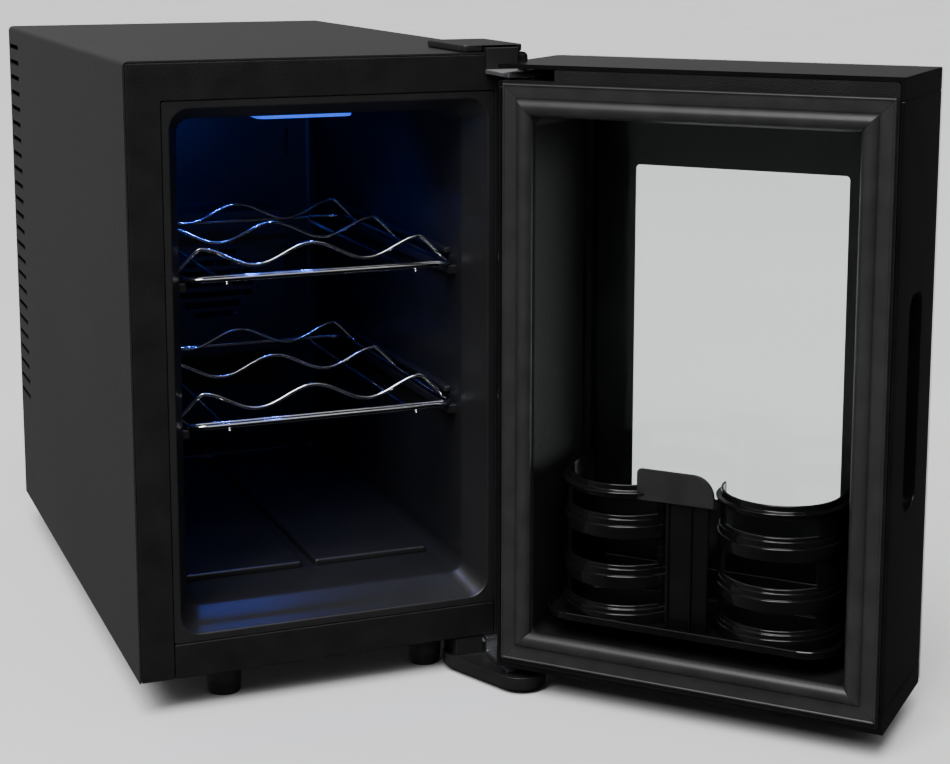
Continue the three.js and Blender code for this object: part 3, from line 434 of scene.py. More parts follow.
def block(bm, low, high, bevel=0.6, segments=3):
    """A moulded block: a box with rounded edges."""
    made = bmesh.ops.create_cube(bm, size=1.0)["verts"]
    size = Vector(high) - Vector(low)
    middle = (Vector(high) + Vector(low)) / 2
    for v in made:
        v.co = Vector(v.co[i] * size[i] for i in range(3)) + middle
    edges = {e for v in made for e in v.link_edges}
    if bevel:
        bmesh.ops.bevel(
            bm, geom=list(edges), offset=bevel, segments=segments, profile=0.5, affect="EDGES"
        )


def plate(bm, outline, y0, y1, edge=0.5):
    """An outline in X and Z given a thickness along Y, with its rims eased."""
    middle = Vector((sum(p[0] for p in outline), 0, sum(p[1] for p in outline))) / len(outline)

    def ring(y, inset):
        points = []
        for x, z in outline:
            out = Vector((x, 0, z)) - middle
            p = middle + out * (1 - inset / max(out.length, 1e-6))
            points.append(Vector((p.x, y, p.z)))
        return points

    loft(bm, [ring(y0, edge), ring(y0 + edge, 0), ring(y1 - edge, 0), ring(y1, edge)])


def to_metres(bm, swing):
    """Turns drawn millimetres into metres, and swings a door piece to its rest pose."""
    turn = SWING if swing else Matrix.Identity(4)
    bmesh.ops.transform(bm, matrix=turn @ Matrix.Scale(MM, 4), verts=bm.verts)


def box_cutter(low, high):
    bm = bmesh.new()
    block(bm, low, high, bevel=0)
    mesh = bpy.data.meshes.new("cutter")
    to_metres(bm, swing=True)
    bm.to_mesh(mesh)
    bm.free()
    cutter = bpy.data.objects.new("cutter", mesh)
    bpy.context.scene.collection.objects.link(cutter)
    return cutter


def cut_door_piece(obj, low, high):
    """Cuts a box, given with the door closed, out of a door piece."""
    cutter = box_cutter(low, high)
    modifier = obj.modifiers.new("cut", "BOOLEAN")
    modifier.operation = "DIFFERENCE"
    modifier.solver = "EXACT"
    modifier.object = cutter
    graph = bpy.context.evaluated_depsgraph_get()
    mesh = bpy.data.meshes.new_from_object(obj.evaluated_get(graph))
    obj.modifiers.clear()
    obj.data = mesh
    bpy.data.objects.remove(cutter)


def finish_edges(obj, bevel, segments=2, angle=30):
    """Rounds a piece's sharp edges and keeps its flat faces flat in the light."""
    if bevel:
        rounding = obj.modifiers.new("rounding", "BEVEL")
        rounding.width = bevel * MM
        rounding.segments = segments
        rounding.limit_method = "ANGLE"
        rounding.angle_limit = math.radians(angle)
        rounding.miter_outer = "MITER_ARC"
    weighted = obj.modifiers.new("weighted", "WEIGHTED_NORMAL")
    weighted.keep_sharp = True


def smooth_shading(bm, angle):
    limit = math.radians(angle)
    for face in bm.faces:
        face.smooth = True
    for edge in bm.edges:
        edge.smooth = len(edge.link_faces) == 2 and edge.calc_face_angle(0) < limit


def make(name, bm, material, body, replaced=(), swing=False, bevel=0, angle=38):
    """Turns a drawn mesh into a piece that rides on a body and stands for CAD nodes."""
    bmesh.ops.recalc_face_normals(bm, faces=bm.faces)
    smooth_shading(bm, 180 if bevel else angle)
    to_metres(bm, swing)
    mesh = bpy.data.meshes.new(name)
    bm.to_mesh(mesh)
    bm.free()
    mesh.materials.append(MATERIAL[material])
    obj = bpy.data.objects.new(name, mesh)
    bpy.context.scene.collection.objects.link(obj)
    finish_edges(obj, bevel)
    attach(obj, body)
    if replaced:
        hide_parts(*replaced)
    return obj


def softened(node, name, material, body, bevel):
    """A copy of a CAD node with its edges rounded, shown in the node's place."""
    bm = bmesh.new()
    bm.from_mesh(frame["nodes"][node].data)
    bmesh.ops.remove_doubles(bm, verts=bm.verts, dist=1e-6)
    if bevel:
        bmesh.ops.dissolve_limit(bm, angle_limit=math.radians(0.4), verts=bm.verts, edges=bm.edges)
    bmesh.ops.recalc_face_normals(bm, faces=bm.faces)
    smooth_shading(bm, 180 if bevel else 38)
    mesh = bpy.data.meshes.new(name)
    bm.to_mesh(mesh)
    bm.free()
    for left_over in ("custom_normal", "UVMap"):
        if left_over in mesh.attributes:
            mesh.attributes.remove(mesh.attributes[left_over])
    mesh.materials.clear()
    mesh.materials.append(MATERIAL[material])
    obj = bpy.data.objects.new(name, mesh)
    bpy.context.scene.collection.objects.link(obj)
    if bevel:
        finish_edges(obj, bevel)
    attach(obj, body)
    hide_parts(node)
    return obj


# ---------------------------------------------------------------- cabinet


def casing():
    for node, name, material, bevel in (
        ("outer_shell", "casing_wrap", "painted_sheet", 0),
        ("rear_grille", "rear_panel", "painted_sheet", 0),
        ("front_frame", "rim_frame", "grained_plastic", 0.9),
        ("sill_trim", "rim_sill", "grained_plastic", 0.9),
        ("top_hinge_cover", "hinge_cap_top", "satin_plastic", 1.0),
        ("lower_hinge_cover", "hinge_cap_lower", "satin_plastic", 0.8),
        ("top_hinge_plate", "hinge_strap_top", "part_painted", 0.4),
        ("lower_hinge_plate", "hinge_strap_lower", "zinc_steel", 0.4),
        ("interior_fan_cover", "fan_grille_inside", "liner_plastic", 0),
        ("power_inlet", "inlet_housing", "satin_plastic", 0.4),
        ("light_module", "lamp_housing", "lamp_lens", 0.8),
    ):
        softened(node, name, material, "cabinet", bevel)


def liner_ring(shape, y, grow=0.0):
    half = shape["half"] + grow
    outline = rounded_rect(-half, half, shape["low"] - grow, shape["high"] + grow, shape["radius"] + grow)
    return [Vector((x, y, z)) for x, z in outline]


def between(a, b, t):
    return {key: a[key] + (b[key] - a[key]) * t for key in ("half", "low", "high", "radius")}


def inner_liner():
    """The moulded inside of the cabinet, one skin from the rim to the back wall."""
    bm = bmesh.new()
    face = FRONT + 0.8
    slope_end = FRONT + MOUTH["slope"]
    flange = {"half": LINER_HIGH.x, "low": LINER_LOW.z, "high": LINER_HIGH.z, "radius": 2}
    lip = 1.8
    rings = [liner_ring(flange, face + 2), liner_ring(flange, face)]
    rings.append(liner_ring(MOUTH, face, lip))
    for step in range(1, 5):
        a = math.pi / 2 * step / 4
        grow = lip * (1 - math.sin(a) * 0.9)
        rings.append(liner_ring(MOUTH, face + lip * (1 - math.cos(a)), grow))
    for t in (0.25, 0.5, 0.75, 0.88, 0.96):
        y = face + lip + (slope_end - face - lip) * t
        ease = t if t < 0.8 else t + (1 - t) * 0.25
        rings.append(liner_ring(between(MOUTH, INTERIOR, ease), y))
    rings.append(liner_ring(INTERIOR, slope_end + 2.5))
    fillet = 8
    back = INTERIOR["back"]
    rings.append(liner_ring(INTERIOR, back - fillet))
    for step in range(1, 6):
        a = math.pi / 2 * step / 5
        rings.append(liner_ring(INTERIOR, back - fillet * (1 - math.sin(a)), -fillet * (1 - math.cos(a))))
    behind = back + LINER_WALL
    rings_out = [
        liner_ring(INTERIOR, behind, LINER_WALL),
        liner_ring(INTERIOR, slope_end, LINER_WALL),
        liner_ring(MOUTH, face + LINER_WALL, LINER_WALL),
    ]
    inside = [[bm.verts.new(p) for p in ring] for ring in rings]
    outside = [[bm.verts.new(p) for p in ring] for ring in rings_out]
    for a, b in zip(inside, inside[1:]):
        band_faces(bm, a, b)
    bm.faces.new(inside[-1])
    bm.faces.new(outside[0])
    for a, b in zip(outside, outside[1:]):
        band_faces(bm, a, b)
    band_faces(bm, outside[-1], inside[0])
    liner_features(bm)
    make("liner_skin", bm, "liner_plastic", "cabinet", replaced=("inner_liner",), angle=50)


def liner_features(bm):
    """Shelf ribs on the side walls and the raised halves of the floor."""
    for level in ("lower", "upper"):
        z = measure(f"shelf_{level}_front_rail")[0].z + THIN_WIRE
        seat = z - SHELF_WIRE - 0.3
        y0 = FRONT + 36
        y1 = y0 + 285
        for side in (-1, 1):
            wall = side * (INTERIOR["half"] + 0.8)
            for half, start, z0, z1 in (
                (97, y0, seat - 7, seat),
                (99.5, y0 + 12, z + 4.5, z + 9),
            ):
                x = sorted((side * half, wall))
                block(bm, (x[0], start, z0), (x[1], y1, z1), 1.4, 3)
    low = INTERIOR["low"]
    for x0, x1 in ((-94, -5), (5, 94)):
        block(bm, (x0, FRONT + 75, low - 1), (x1, INTERIOR["back"] - 1, low + 5), 2.2, 4)


def feet():
    for node in ("foot_front_left", "foot_front_right", "foot_rear_left", "foot_rear_right"):
        low, high = measure(node)
        middle = (low + high) / 2
        bm = bmesh.new()
        profile = [
            (6.0, low.z + 0.8),
            (7.0, low.z),
            (10.6, low.z),
            (11.6, low.z + 0.4),
            (12.0, low.z + 1.4),
            (12.5, low.z + 7.6),
            (12.1, low.z + 8.0),
            (12.1, low.z + 8.6),
            (12.6, low.z + 9.0),
            (13.6, high.z - 1.6),
            (13.3, high.z),
        ]
        turned(bm, profile, (middle.x, middle.y, 0))
        name = node.replace("foot", "rubber_foot")
        make(name, bm, "foot_rubber", "cabinet", replaced=(node,), angle=50)


def screw(bm, centre, radius=3.2):
    """A pan-head screw on a rear face, with a cross recess drawn as two raised lands."""
    profile = [(radius, 0), (radius, 0.5), (radius * 0.85, 1.1), (radius * 0.45, 1.45), (0.3, 1.5)]
    turned(bm, profile, centre, axis="Y", steps=24)
    for turn in (0, math.pi / 2):
        for offset in (-0.9, 0.9):
            shift = Vector((math.cos(turn), 0, math.sin(turn))) * offset
            middle = Vector(centre) + shift + Vector((0, 1.35, 0))
            reach = Vector((math.sin(turn) * 0.35, 0, math.cos(turn) * 0.35)) + Vector((0.45, 0.2, 0.45))
            block(bm, middle - reach, middle + reach, 0.1, 1)


def rear_fittings():
    bm = bmesh.new()
    for x in (-134, 134):
        for z in (20, 150, 290, 418):
            screw(bm, (x, BACK, z))
    for x in (-60, 60):
        screw(bm, (x, BACK, 14))
        screw(bm, (x, BACK, 422))
    make("rear_screws", bm, "zinc_steel", "cabinet", angle=50)
    low, high = measure("power_inlet")
    bm = bmesh.new()
    middle = (low + high) / 2
    for x, z in ((-6, -2.5), (6, -2.5), (0, 3)):
        centre = Vector((middle.x + x, 0, middle.z + z))
        block(
            bm,
            (centre.x - 1, high.y - 17, centre.z - 2.2),
            (centre.x + 1, high.y - 4, centre.z + 2.2),
            0.5,
        )
    make("inlet_blades", bm, "zinc_steel", "cabinet")


def leds():
    low, high = measure("light_module")
    bm = bmesh.new()
    for x in (-22, 0, 22):
        profile = [(3.0, 0.4), (2.9, 0), (2.2, -0.6), (1.2, -0.95), (0.3, -1.0)]
        turned(bm, profile, (x, (low.y + high.y) / 2, low.z), steps=24)
    make("led_domes", bm, "led_die", "cabinet", angle=60)


# ---------------------------------------------------------------- shelves


def rounded_loop(x0, x1, y0, y1, radius, z, steps=12):
    return [Vector((x, y, z)) for x, y in rounded_rect(x0, x1, y0, y1, radius, steps)]


def cradle_curve(low, high, y, foot, crest):
    """A cross wire that rises to a crest at each side and in the middle."""
    reach = high.x - THIN_WIRE * 0.6
    shoulder = 84
    points = [Vector((-reach, y, foot))]
    steps = 84
    for i in range(steps + 1):
        x = -shoulder + 2 * shoulder * i / steps
        lift = (1 + math.cos(2 * math.pi * x / shoulder)) / 2
        points.append(Vector((x, y, foot + lift * crest)))
    points.append(Vector((reach, y, foot)))
    return eased(points, 2)


def eased(points, rounds):
    """Takes the corners off a wire's path by cutting them a few times."""
    for _ in range(rounds):
        cornered = [points[0]]
        for a, b in zip(points, points[1:]):
            if (b - a).length > 4:
                cornered += [a.lerp(b, 0.12), a.lerp(b, 0.88)]
            else:
                cornered.append(a.lerp(b, 0.5))
        cornered.append(points[-1])
        points = cornered
    return points


def shelf(level):
    body = f"{level}_shelf"
    label = f"shelf_{level}"

    def wire(part, points, radius, closed=False):
        bm = bmesh.new()
        tube(bm, points, radius, closed)
        make(f"{label}_{part}_wire", bm, "chrome_wire", body, replaced=(f"{label}_{part}",), angle=60)

    low, high = measure(f"{label}_frame")
    r = SHELF_WIRE
    z = (low.z + high.z) / 2
    loop = rounded_loop(low.x + r, high.x - r, low.y + r, high.y - r, 14, z)
    wire("frame", loop, r, closed=True)
    for part in ("front_rail", "runner_left", "runner_right"):
        a, b = measure(f"{label}_{part}")
        middle = (a + b) / 2
        if part == "front_rail":
            points = [Vector((x, middle.y, middle.z)) for x in (a.x + 0.8, middle.x, b.x - 0.8)]
        else:
            points = [Vector((middle.x, y, middle.z)) for y in (a.y + 1.4, middle.y, b.y - 1.4)]
        wire(part, points, THIN_WIRE)
    beads = bmesh.new()
    for row in ("front", "middle", "rear"):
        a, b = measure(f"{label}_cradle_{row}")
        y = (a.y + b.y) / 2
        foot = a.z + THIN_WIRE
        crest = b.z - a.z - 2 * THIN_WIRE
        wire(f"cradle_{row}", cradle_curve(a, b, y, foot, crest), THIN_WIRE)
        for side in (-1, 1):
            weld(beads, (side * (high.x - r), y, z + r))
    for x in (-70, 70):
        for y in (low.y + r, high.y - r):
            weld(beads, (x, y, z - r))
        weld(beads, (x, low.y + r + 8, z - THIN_WIRE))
    make(f"{label}_welds", beads, "chrome_wire", body, angle=70)


def weld(bm, centre):
    """The small squashed bead of a spot weld between two wires."""
    profile = [(0.5, -1.0), (1.5, -0.7), (1.9, 0), (1.5, 0.7), (0.5, 1.0)]
    turned(bm, profile, centre, steps=12)


# ---------------------------------------------------------------- door


def door_shell():
    for node, name, bevel in (
        ("door_side_latch", "door_edge_latch", 0.7),
        ("door_side_hinge", "door_edge_hinge", 0.7),
        ("door_cap_top", "door_lid_top", 0.8),
        ("door_cap_bottom", "door_lid_bottom", 0.8),
    ):
        softened(node, name, "gloss_plastic", "door", bevel)
    softened("outer_glass", "pane_outer", "window_glass", "door", 0.8)
    softened("inner_glass", "pane_inner", "coated_glass", "door", 0.4)
    softened("control_panel", "control_board", "satin_plastic", "door", 0.5)


def door_liner():
    """Flange and recess of the door's inner moulding, with rounded corners and a drawn lip."""
    bm = bmesh.new()
    y = DOOR_BACK
    glass = PANE_BACK + 0.3
    wall = RECESS["wall"]

    def ring(depth, grow, radius):
        outline = rounded_rect(
            -RECESS["half"] - grow,
            RECESS["half"] + grow,
            RECESS["low"] - grow,
            RECESS["high"] + grow,
            radius,
        )
        return [Vector((x, depth, z)) for x, z in outline]

    def flange(depth):
        outline = rounded_rect(FLANGE_LOW.x, FLANGE_HIGH.x, FLANGE_LOW.z, FLANGE_HIGH.z, 2)
        return [Vector((x, depth, z)) for x, z in outline]

    lip = 3
    rings = [flange(y - 3), flange(y)]
    for step in range(5):
        a = math.pi / 2 * step / 4
        grow = lip * (1 - math.sin(a))
        rings.append(ring(y - lip * (1 - math.cos(a)), grow, RECESS["radius"] + grow))
    rings.append(ring(y - 40, -0.6, RECESS["radius"]))
    rings.append(ring(glass, -1.4, RECESS["radius"]))
    rings.append(ring(glass, wall, RECESS["radius"]))
    rings.append(ring(y - lip, wall, RECESS["radius"]))
    loft(bm, rings, closed=True)
    seat = RACK_LOW.z - 0.3
    for side in (-1, 1):
        x = sorted((side * (RECESS["half"] - RECESS["seat"]), side * (RECESS["half"] + 1)))
        block(bm, (x[0], RACK_LOW.y + 10, seat - 4), (x[1], RACK_HIGH.y - 14, seat), 0.8)
    name, node = "door_inner_skin", "door_liner"
    liner = make(name, bm, "grained_plastic", "door", replaced=(node,), swing=True, angle=50)
    slot_left = PIVOT.x / MM - HINGE_SLOT["inward"]
    slot_front = PIVOT.y / MM - HINGE_SLOT["forward"]
    slot_low = Vector((slot_left, slot_front, HINGE_SLOT["low"]))
    slot_high = Vector((FLANGE_HIGH.x + 8, y + 2, HINGE_SLOT["high"]))
    cut_door_piece(liner, slot_low, slot_high)
    finish_edges(liner, 0)


def gasket_profile():
    """Section of the seal, from the outer edge inwards: a thin lip, a flat carrier and a full bulb."""
    points = [(0, 0), (0, 2.3), (0.35, 2.9), (0.9, 3.1), (1.5, 2.9), (1.9, 2.4)]
    points += [(9.4, 2.2), (9.9, 1.7), (10.6, 1.7)]
    centre, radius = (16.1, 0.9), (5.6, 4.9)
    for i in range(15):
        a = math.pi * (0.93 - 0.83 * i / 14)
        points.append((centre[0] + radius[0] * math.cos(a), centre[1] + radius[1] * math.sin(a)))
    points += [(GASKET_WIDTH, 1.6), (GASKET_WIDTH, 0)]
    return points


def gasket():
    strips = {name: measure(f"gasket_{name}", closed=True) for name in ("top", "bottom", "latch", "hinge")}
    x0, x1 = strips["latch"][0].x, strips["hinge"][1].x
    z0, z1 = strips["bottom"][0].z, strips["top"][1].z
    seat = strips["top"][0].y
    profile = gasket_profile()
    seam = 0.12
    for name, start, end, inward in (
        ("top", (x0, z1), (x1, z1), (0, -1)),
        ("bottom", (x0, z0), (x1, z0), (0, 1)),
        ("latch", (x0, z0), (x0, z1), (1, 0)),
        ("hinge", (x1, z0), (x1, z1), (-1, 0)),
    ):
        a = Vector((start[0], seat, start[1]))
        b = Vector((end[0], seat, end[1]))
        inwards = Vector((inward[0], 0, inward[1]))
        along = (b - a).normalized()

        def section(corner, mitre):
            return [
                corner + inwards * across + along * mitre * (across + seam) + Vector((0, height, 0))
                for across, height in profile
            ]

        rings = [section(a, 1), section(b, -1)]
        bm = bmesh.new()
        loft(bm, rings)
        make(f"seal_{name}", bm, "seal_rubber", "door", replaced=(f"gasket_{name}",), swing=True, angle=46)


def glazing_border():
    """The black print on the glass round the clear window, and the touch marks at the top."""
    bm = bmesh.new()
    y = DOOR_LOW.y + 4.1
    depth = 0.12
    outer = rounded_rect(DOOR_LOW.x + 0.6, DOOR_HIGH.x - 0.6, DOOR_LOW.z + 0.6, DOOR_HIGH.z - 0.6, 2.4)
    inner = rounded_rect(WINDOW["left"], WINDOW["right"], WINDOW["low"], WINDOW["high"], WINDOW["radius"])
    rings = [
        [Vector((x, y, z)) for x, z in outer],
        [Vector((x, y, z)) for x, z in inner],
        [Vector((x, y + depth, z)) for x, z in inner],
        [Vector((x, y + depth, z)) for x, z in outer],
    ]
    loft(bm, rings, closed=True)
    make("glass_border", bm, "border_print", "door", swing=True)
    bm = bmesh.new()
    for x in (-32, -16, 16, 32):
        for radius, width in ((3.2, 0.5), (0.9, 0.7)):
            outside, inside = radius + width / 2, max(radius - width / 2, 0.15)
            section = ((outside, 0), (outside, 0.03), (inside, 0.03), (inside, 0))
            rings = [
                [
                    Vector((x + r * math.cos(a), y - 0.06 + h, 410 + r * math.sin(a)))
                    for a in (2 * math.pi * k / 32 for k in range(32))
                ]
                for r, h in section
            ]
            loft(bm, rings, closed=True)
    make("touch_marks", bm, "touch_print", "door", swing=True)


# ---------------------------------------------------------------- bottle rack


def well_path(centre, first, last, legs, steps=40):
    """Plan points and outward directions round a well between two angles, with legs at its ends."""
    radius = WELL["inner"]
    path = []
    if legs[0]:
        path.append((Vector((centre + radius, RACK_LOW.y + 1)), Vector((1, 0))))
    for i in range(steps + 1):
        a = math.radians(first + (last - first) * i / steps)
        out = Vector((math.cos(a), math.sin(a)))
        path.append((Vector((centre, WELL["y"])) + out * radius, out))
    if legs[1]:
        path.append((Vector((centre - radius, RACK_LOW.y + 1)), Vector((-1, 0))))
    return path


def sweep(bm, path, profile):
    rings = []
    for point, out in path:
        rings.append([Vector((*(point + out * across), height)) for across, height in profile])
    loft(bm, rings)


def bead(centre, radius, first, last, steps=5):
    points = []
    for i in range(steps + 1):
        a = math.radians(first + (last - first) * i / steps)
        points.append((centre[0] + radius * math.cos(a), centre[1] + radius * math.sin(a)))
    return points


def band_profile(low, high):
    """A hoop that steps out twice on its way down, each step with a rounded edge."""
    points = [(0, low + 0.5), (0, high - 0.4), (0.4, high)]
    points += bead((1.4, high - 0.7), 0.7, 90, 0)
    points += [(2.1, high - 2.3)]
    points += bead((2.3, high - 3.4), 0.8, 90, 0)
    points += [(3.1, high - 7.0)]
    points += bead((3.4, high - 8.2), 0.9, 90, -10)
    points += [(3.7, low + 1.0), (3.2, low + 0.2), (2.6, low)]
    return points


def rim_profile(rim):
    """The well's top edge: an upright skirt that turns out into a narrow rolled lip."""
    points = [(0, rim - 9.6), (0, rim - 0.6), (0.3, rim - 0.1), (0.9, rim)]
    points += bead((1.3, rim - 0.6), 0.6, 90, 0)
    points += [(1.9, rim - 3.6), (2.5, rim - 4.3), (3.6, rim - 4.7)]
    points += bead((4.5, rim - 5.6), 0.9, 80, -80)
    points += [(3.6, rim - 6.4), (2.6, rim - 7.2), (2.4, rim - 9.2), (1.9, rim - 9.8)]
    return points


def base_profile(low, high):
    points = [(0, low), (0, high - 0.4), (0.4, high)]
    points += bead((1.6, high - 0.8), 0.8, 90, 0)
    points += [(2.5, high - 2.0)]
    points += bead((2.9, high - 3.2), 0.8, 90, 0)
    points += [(3.8, high - 5.4)]
    points += bead((4.1, high - 6.4), 0.8, 90, 0)
    points += [(5.0, low + 0.5), (4.6, low)]
    return points


def tray(bm):
    back, front = RACK_LOW.y, RACK_HIGH.y
    low, corner, height = RACK_LOW.z, RACK["corner"], RACK["tray"]

    def ring(inset, z):
        outline = rounded_rect(
            RACK_LOW.x + inset, RACK_HIGH.x - inset, back + inset, front - inset, corner - inset * 0.8
        )
        return [Vector((x, y, z)) for x, y in outline]

    loft(
        bm,
        [
            ring(2.2, low),
            ring(0.8, low + 0.5),
            ring(0.2, low + 1.6),
            ring(0.5, low + height - 2.0),
            ring(0.1, low + height - 1.2),
            ring(0.1, low + height - 0.5),
            ring(0.6, low + height),
            ring(1.3, low + height - 0.1),
            ring(1.9, low + height - 0.9),
            ring(2.6, low + 3.2),
            ring(4.0, low + 2.5),
            ring(6.0, low + 2.4),
        ],
    )


def tab_outline(rim, top):
    """Square at the hinge end, well rounded at the other."""
    foot = rim - 10
    left, right, bend, corner = -17, 39, 15, 3
    points = [(right, foot), (right, top - corner)]
    for k in range(1, 5):
        a = math.pi / 8 * k
        points.append((right - corner * (1 - math.cos(a)), top - corner * (1 - math.sin(a))))
    for k in range(11):
        a = math.pi / 2 * (1 + k / 10)
        points.append((left + bend * (1 + math.cos(a)), top - bend * (1 - math.sin(a))))
    points.append((left, foot))
    return points


def rack():
    bm = bmesh.new()
    low, top, rim, middle = RACK_LOW.z, RACK_HIGH.z, RACK["rim"], RACK["middle"]
    opening = math.degrees(math.acos(WELL["opening"] / (WELL["inner"] + 1.2)))
    tray(bm)
    wall = [(0.1, low + 2), (0.1, rim - 2), (2.3, rim - 2), (2.3, low + 2)]
    for side in (-1, 1):
        centre = middle + side * WELL["offset"]
        outer_leg = (side > 0, side < 0)
        sweep(bm, well_path(centre, 0, opening, (side > 0, False), 12), wall)
        sweep(bm, well_path(centre, 180 - opening, 180, (False, side < 0), 12), wall)
        for z0, z1 in WELL_BANDS:
            sweep(bm, well_path(centre, 0, 180, outer_leg), band_profile(z0, z1))
        sweep(bm, well_path(centre, 0, 180, outer_leg), rim_profile(rim))
        sweep(bm, well_path(centre, 0, 180, (False, False)), base_profile(low + 2, WELL_BASE))
    panel_y = RACK_HIGH.y - 12
    gap = WELL["offset"] - WELL["inner"] - 1.6
    block(bm, (middle - gap, panel_y - 2.5, low + 1), (middle + gap, panel_y, rim - 1), 0.6)
    for x in (-0.5, 16):
        block(bm, (x - 0.8, panel_y - 1, low + 1), (x + 0.8, panel_y + 2.6, rim - 9), 0.6)
    half = (RACK_HIGH.x - RACK_LOW.x) / 2 - 21
    block(bm, (middle - half, RACK_LOW.y, low + 1), (middle + half, RACK_LOW.y + 2.5, low + 26), 0.7)
    make("rack_moulding", bm, "gloss_plastic", "rack", replaced=("door_rack",), swing=True, angle=42)
    bm = bmesh.new()
    plate(bm, tab_outline(rim, top), panel_y, panel_y + 2.9, 0.6)
    make("rack_tab", bm, "tab_plastic", "rack", swing=True, angle=42)


# ---------------------------------------------------------------- nodes kept as they are


def dress_cad_nodes():
    """Gives every CAD node that is still shown its procedural material."""
    special = {"door_insulation": "dark_foam", "temperature_probe": "satin_plastic"}
    slots = {s["node"]: s["material_slot"] for s in frame["record"]["subparts"]}
    for name, obj in frame["nodes"].items():
        obj.data.materials.clear()
        obj.data.materials.append(MATERIAL[special.get(name, slots[name])])


# ---------------------------------------------------------------- stage, light and camera


def floor():
    """A pale floor, far wider than the view."""
    bm = bmesh.new()
    z = CAD_BOX[0].z
    rings = 24
    for i in range(rings + 1):
        for j in range(rings + 1):
            bm.verts.new((FLOOR_REACH * (2 * i / rings - 1), FLOOR_REACH * (2 * j / rings - 1), z))
    bm.verts.ensure_lookup_table()
    side = rings + 1
    for i in range(rings):
        for j in range(rings):
            a = i * side + j
            bm.faces.new([bm.verts[k] for k in (a, a + side, a + side + 1, a + 1)])
    mesh = bpy.data.meshes.new("floor")
    bm.to_mesh(mesh)
    bm.free()
    n = varied("floor", (0.86, 0.86, 0.86), (0.90, 0.90, 0.90), (0.7, 0.8), 1.5)
    mesh.materials.append(n.material)
    obj = bpy.data.objects.new("floor", mesh)
    obj.visible_glossy = False
    bpy.context.scene.collection.objects.link(obj)


def sky():
    """Soft studio surroundings: brightest overhead, dim at eye level and below."""
    world = bpy.data.worlds.new("studio")
    world.use_nodes = True
    tree = world.node_tree
    background = tree.nodes["Background"]
    place = tree.nodes.new("ShaderNodeTexCoord")
    split = tree.nodes.new("ShaderNodeSeparateXYZ")
    tree.links.new(place.outputs["Generated"], split.inputs["Vector"])
    toward = tree.nodes.new("ShaderNodeVectorMath")
    toward.operation = "DOT_PRODUCT"
    toward.inputs[1].default_value = (-0.5, 0.87, 0)
    tree.links.new(place.outputs["Generated"], toward.inputs[0])
    side = tree.nodes.new("ShaderNodeMapRange")
    side.inputs["From Min"].default_value = -0.12
    side.inputs["From Max"].default_value = 1
    side.inputs["To Min"].default_value = 0.05
    side.inputs["To Max"].default_value = 1.5
    tree.links.new(toward.outputs["Value"], side.inputs["Value"])
    height = tree.nodes.new("ShaderNodeMapRange")
    height.inputs["From Min"].default_value = -1
    height.inputs["From Max"].default_value = 1
    tree.links.new(split.outputs["Z"], height.inputs["Value"])
    ramp = tree.nodes.new("ShaderNodeValToRGB")
    stops = ramp.color_ramp.elements
    stops[0].position, stops[0].color = 0.0, (0.02, 0.02, 0.02, 1)
    stops[1].position, stops[1].color = 1.0, (0.85, 0.85, 0.86, 1)
    for position, level in ((0.35, 0.13), (0.5, 0.14), (0.6, 0.13)):
        stop = stops.new(position)
        stop.color = (level, level, level, 1)
    tree.links.new(height.outputs["Result"], ramp.inputs["Fac"])
    overhead = tree.nodes.new("ShaderNodeMapRange")
    overhead.inputs["From Min"].default_value = 0.25
    overhead.inputs["From Max"].default_value = 0.8
    tree.links.new(split.outputs["Z"], overhead.inputs["Value"])
    strength = tree.nodes.new("ShaderNodeMix")
    strength.data_type = "FLOAT"
    tree.links.new(overhead.outputs["Result"], strength.inputs["Factor"])
    tree.links.new(side.outputs["Result"], strength.inputs["A"])
    strength.inputs["B"].default_value = 1
    tree.links.new(ramp.outputs["Color"], background.inputs["Color"])
    tree.links.new(strength.outputs["Result"], background.inputs["Strength"])
    bpy.context.scene.world = world


def sun(name, direction, strength, spread):
    data = bpy.data.lights.new(name, "SUN")
    data.energy = strength
    data.angle = math.radians(spread)
    obj = bpy.data.objects.new(name, data)
    obj.rotation_euler = Vector(direction).to_track_quat("-Z", "Y").to_euler()
    bpy.context.scene.collection.objects.link(obj)


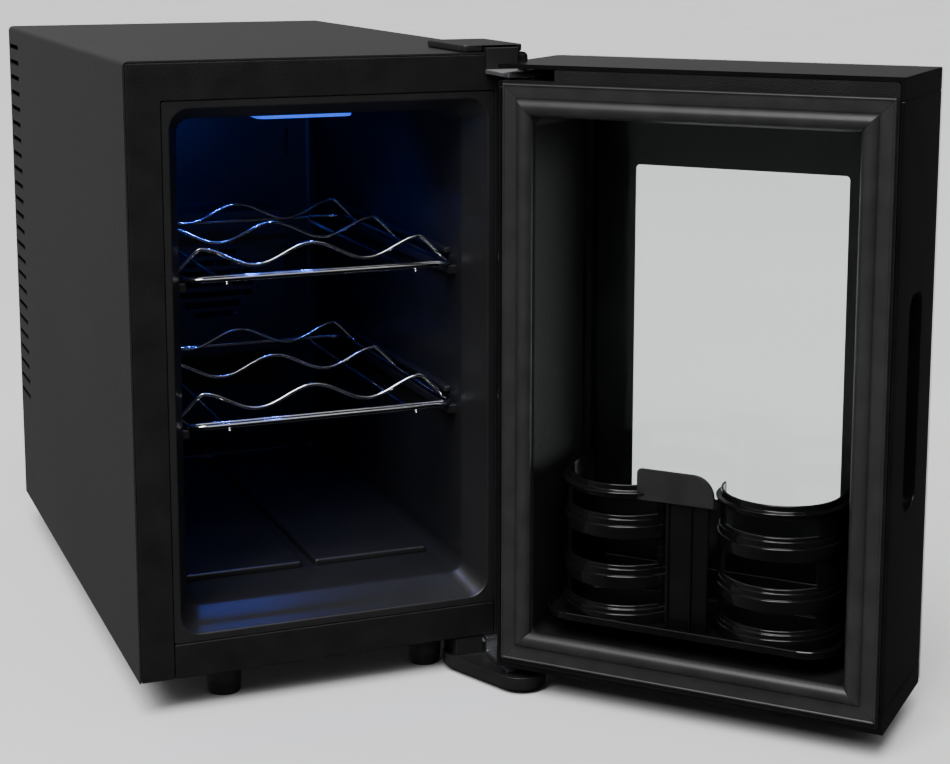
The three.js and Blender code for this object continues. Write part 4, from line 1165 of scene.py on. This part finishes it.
def area_light(name, place, target, size, energy):
    data = bpy.data.lights.new(name, "AREA")
    data.shape = "RECTANGLE"
    data.size, data.size_y = size
    data.energy = energy
    obj = bpy.data.objects.new(name, data)
    obj.location = place
    obj.rotation_euler = (Vector(target) - Vector(place)).to_track_quat("-Z", "Y").to_euler()
    bpy.context.scene.collection.objects.link(obj)


def led_light(name, place, energy):
    """A blue beam that spreads down and towards the back of the cabinet."""
    data = bpy.data.lights.new(name, "SPOT")
    data.energy = energy
    data.color = (0.02, 0.09, 1.0)
    data.shadow_soft_size = 0.004
    data.spot_size = math.radians(150)
    data.spot_blend = 0.8
    obj = bpy.data.objects.new(name, data)
    obj.location = place
    obj.rotation_euler = Vector((0, 0.75, -1)).to_track_quat("-Z", "Y").to_euler()
    bpy.context.scene.collection.objects.link(obj)


def lights():
    sun("overhead", (0.30, 0.42, -1.0), LIGHT_POWER["sun"], 35)
    area_light("key", (-1.9, -1.9, 2.2), (0.1, -0.2, 0.2), (1.1, 1.1), LIGHT_POWER["key"])
    low, high = measure("light_module")
    middle = (low + high) / 2 * MM
    for index, x in enumerate((-22, 22)):
        led_light(f"led_{index}", (x * MM, middle.y, low.z * MM - 0.006), LIGHT_POWER["led"])


def camera():
    """A viewpoint to the left of the cabinet and a little above it."""
    data = bpy.data.cameras.new("camera")
    data.sensor_width = 36
    data.lens = CAMERA["lens"]
    data.shift_x, data.shift_y = CAMERA["shift"]
    data.clip_end = 100
    obj = bpy.data.objects.new("camera", data)
    obj.location = CAMERA["place"]
    yaw, pitch = math.radians(CAMERA["yaw"]), math.radians(CAMERA["pitch"])
    ahead = Vector((math.sin(yaw) * math.cos(pitch), math.cos(yaw) * math.cos(pitch), math.sin(pitch)))
    obj.rotation_euler = ahead.to_track_quat("-Z", "Y").to_euler()
    bpy.context.scene.collection.objects.link(obj)
    bpy.context.scene.camera = obj


# ---------------------------------------------------------------- assembly

dress_cad_nodes()
casing()
inner_liner()
feet()
rear_fittings()
leds()
for shelf_level in ("lower", "upper"):
    shelf(shelf_level)
door_shell()
door_liner()
gasket()
glazing_border()
rack()
floor()
sky()
lights()
camera()
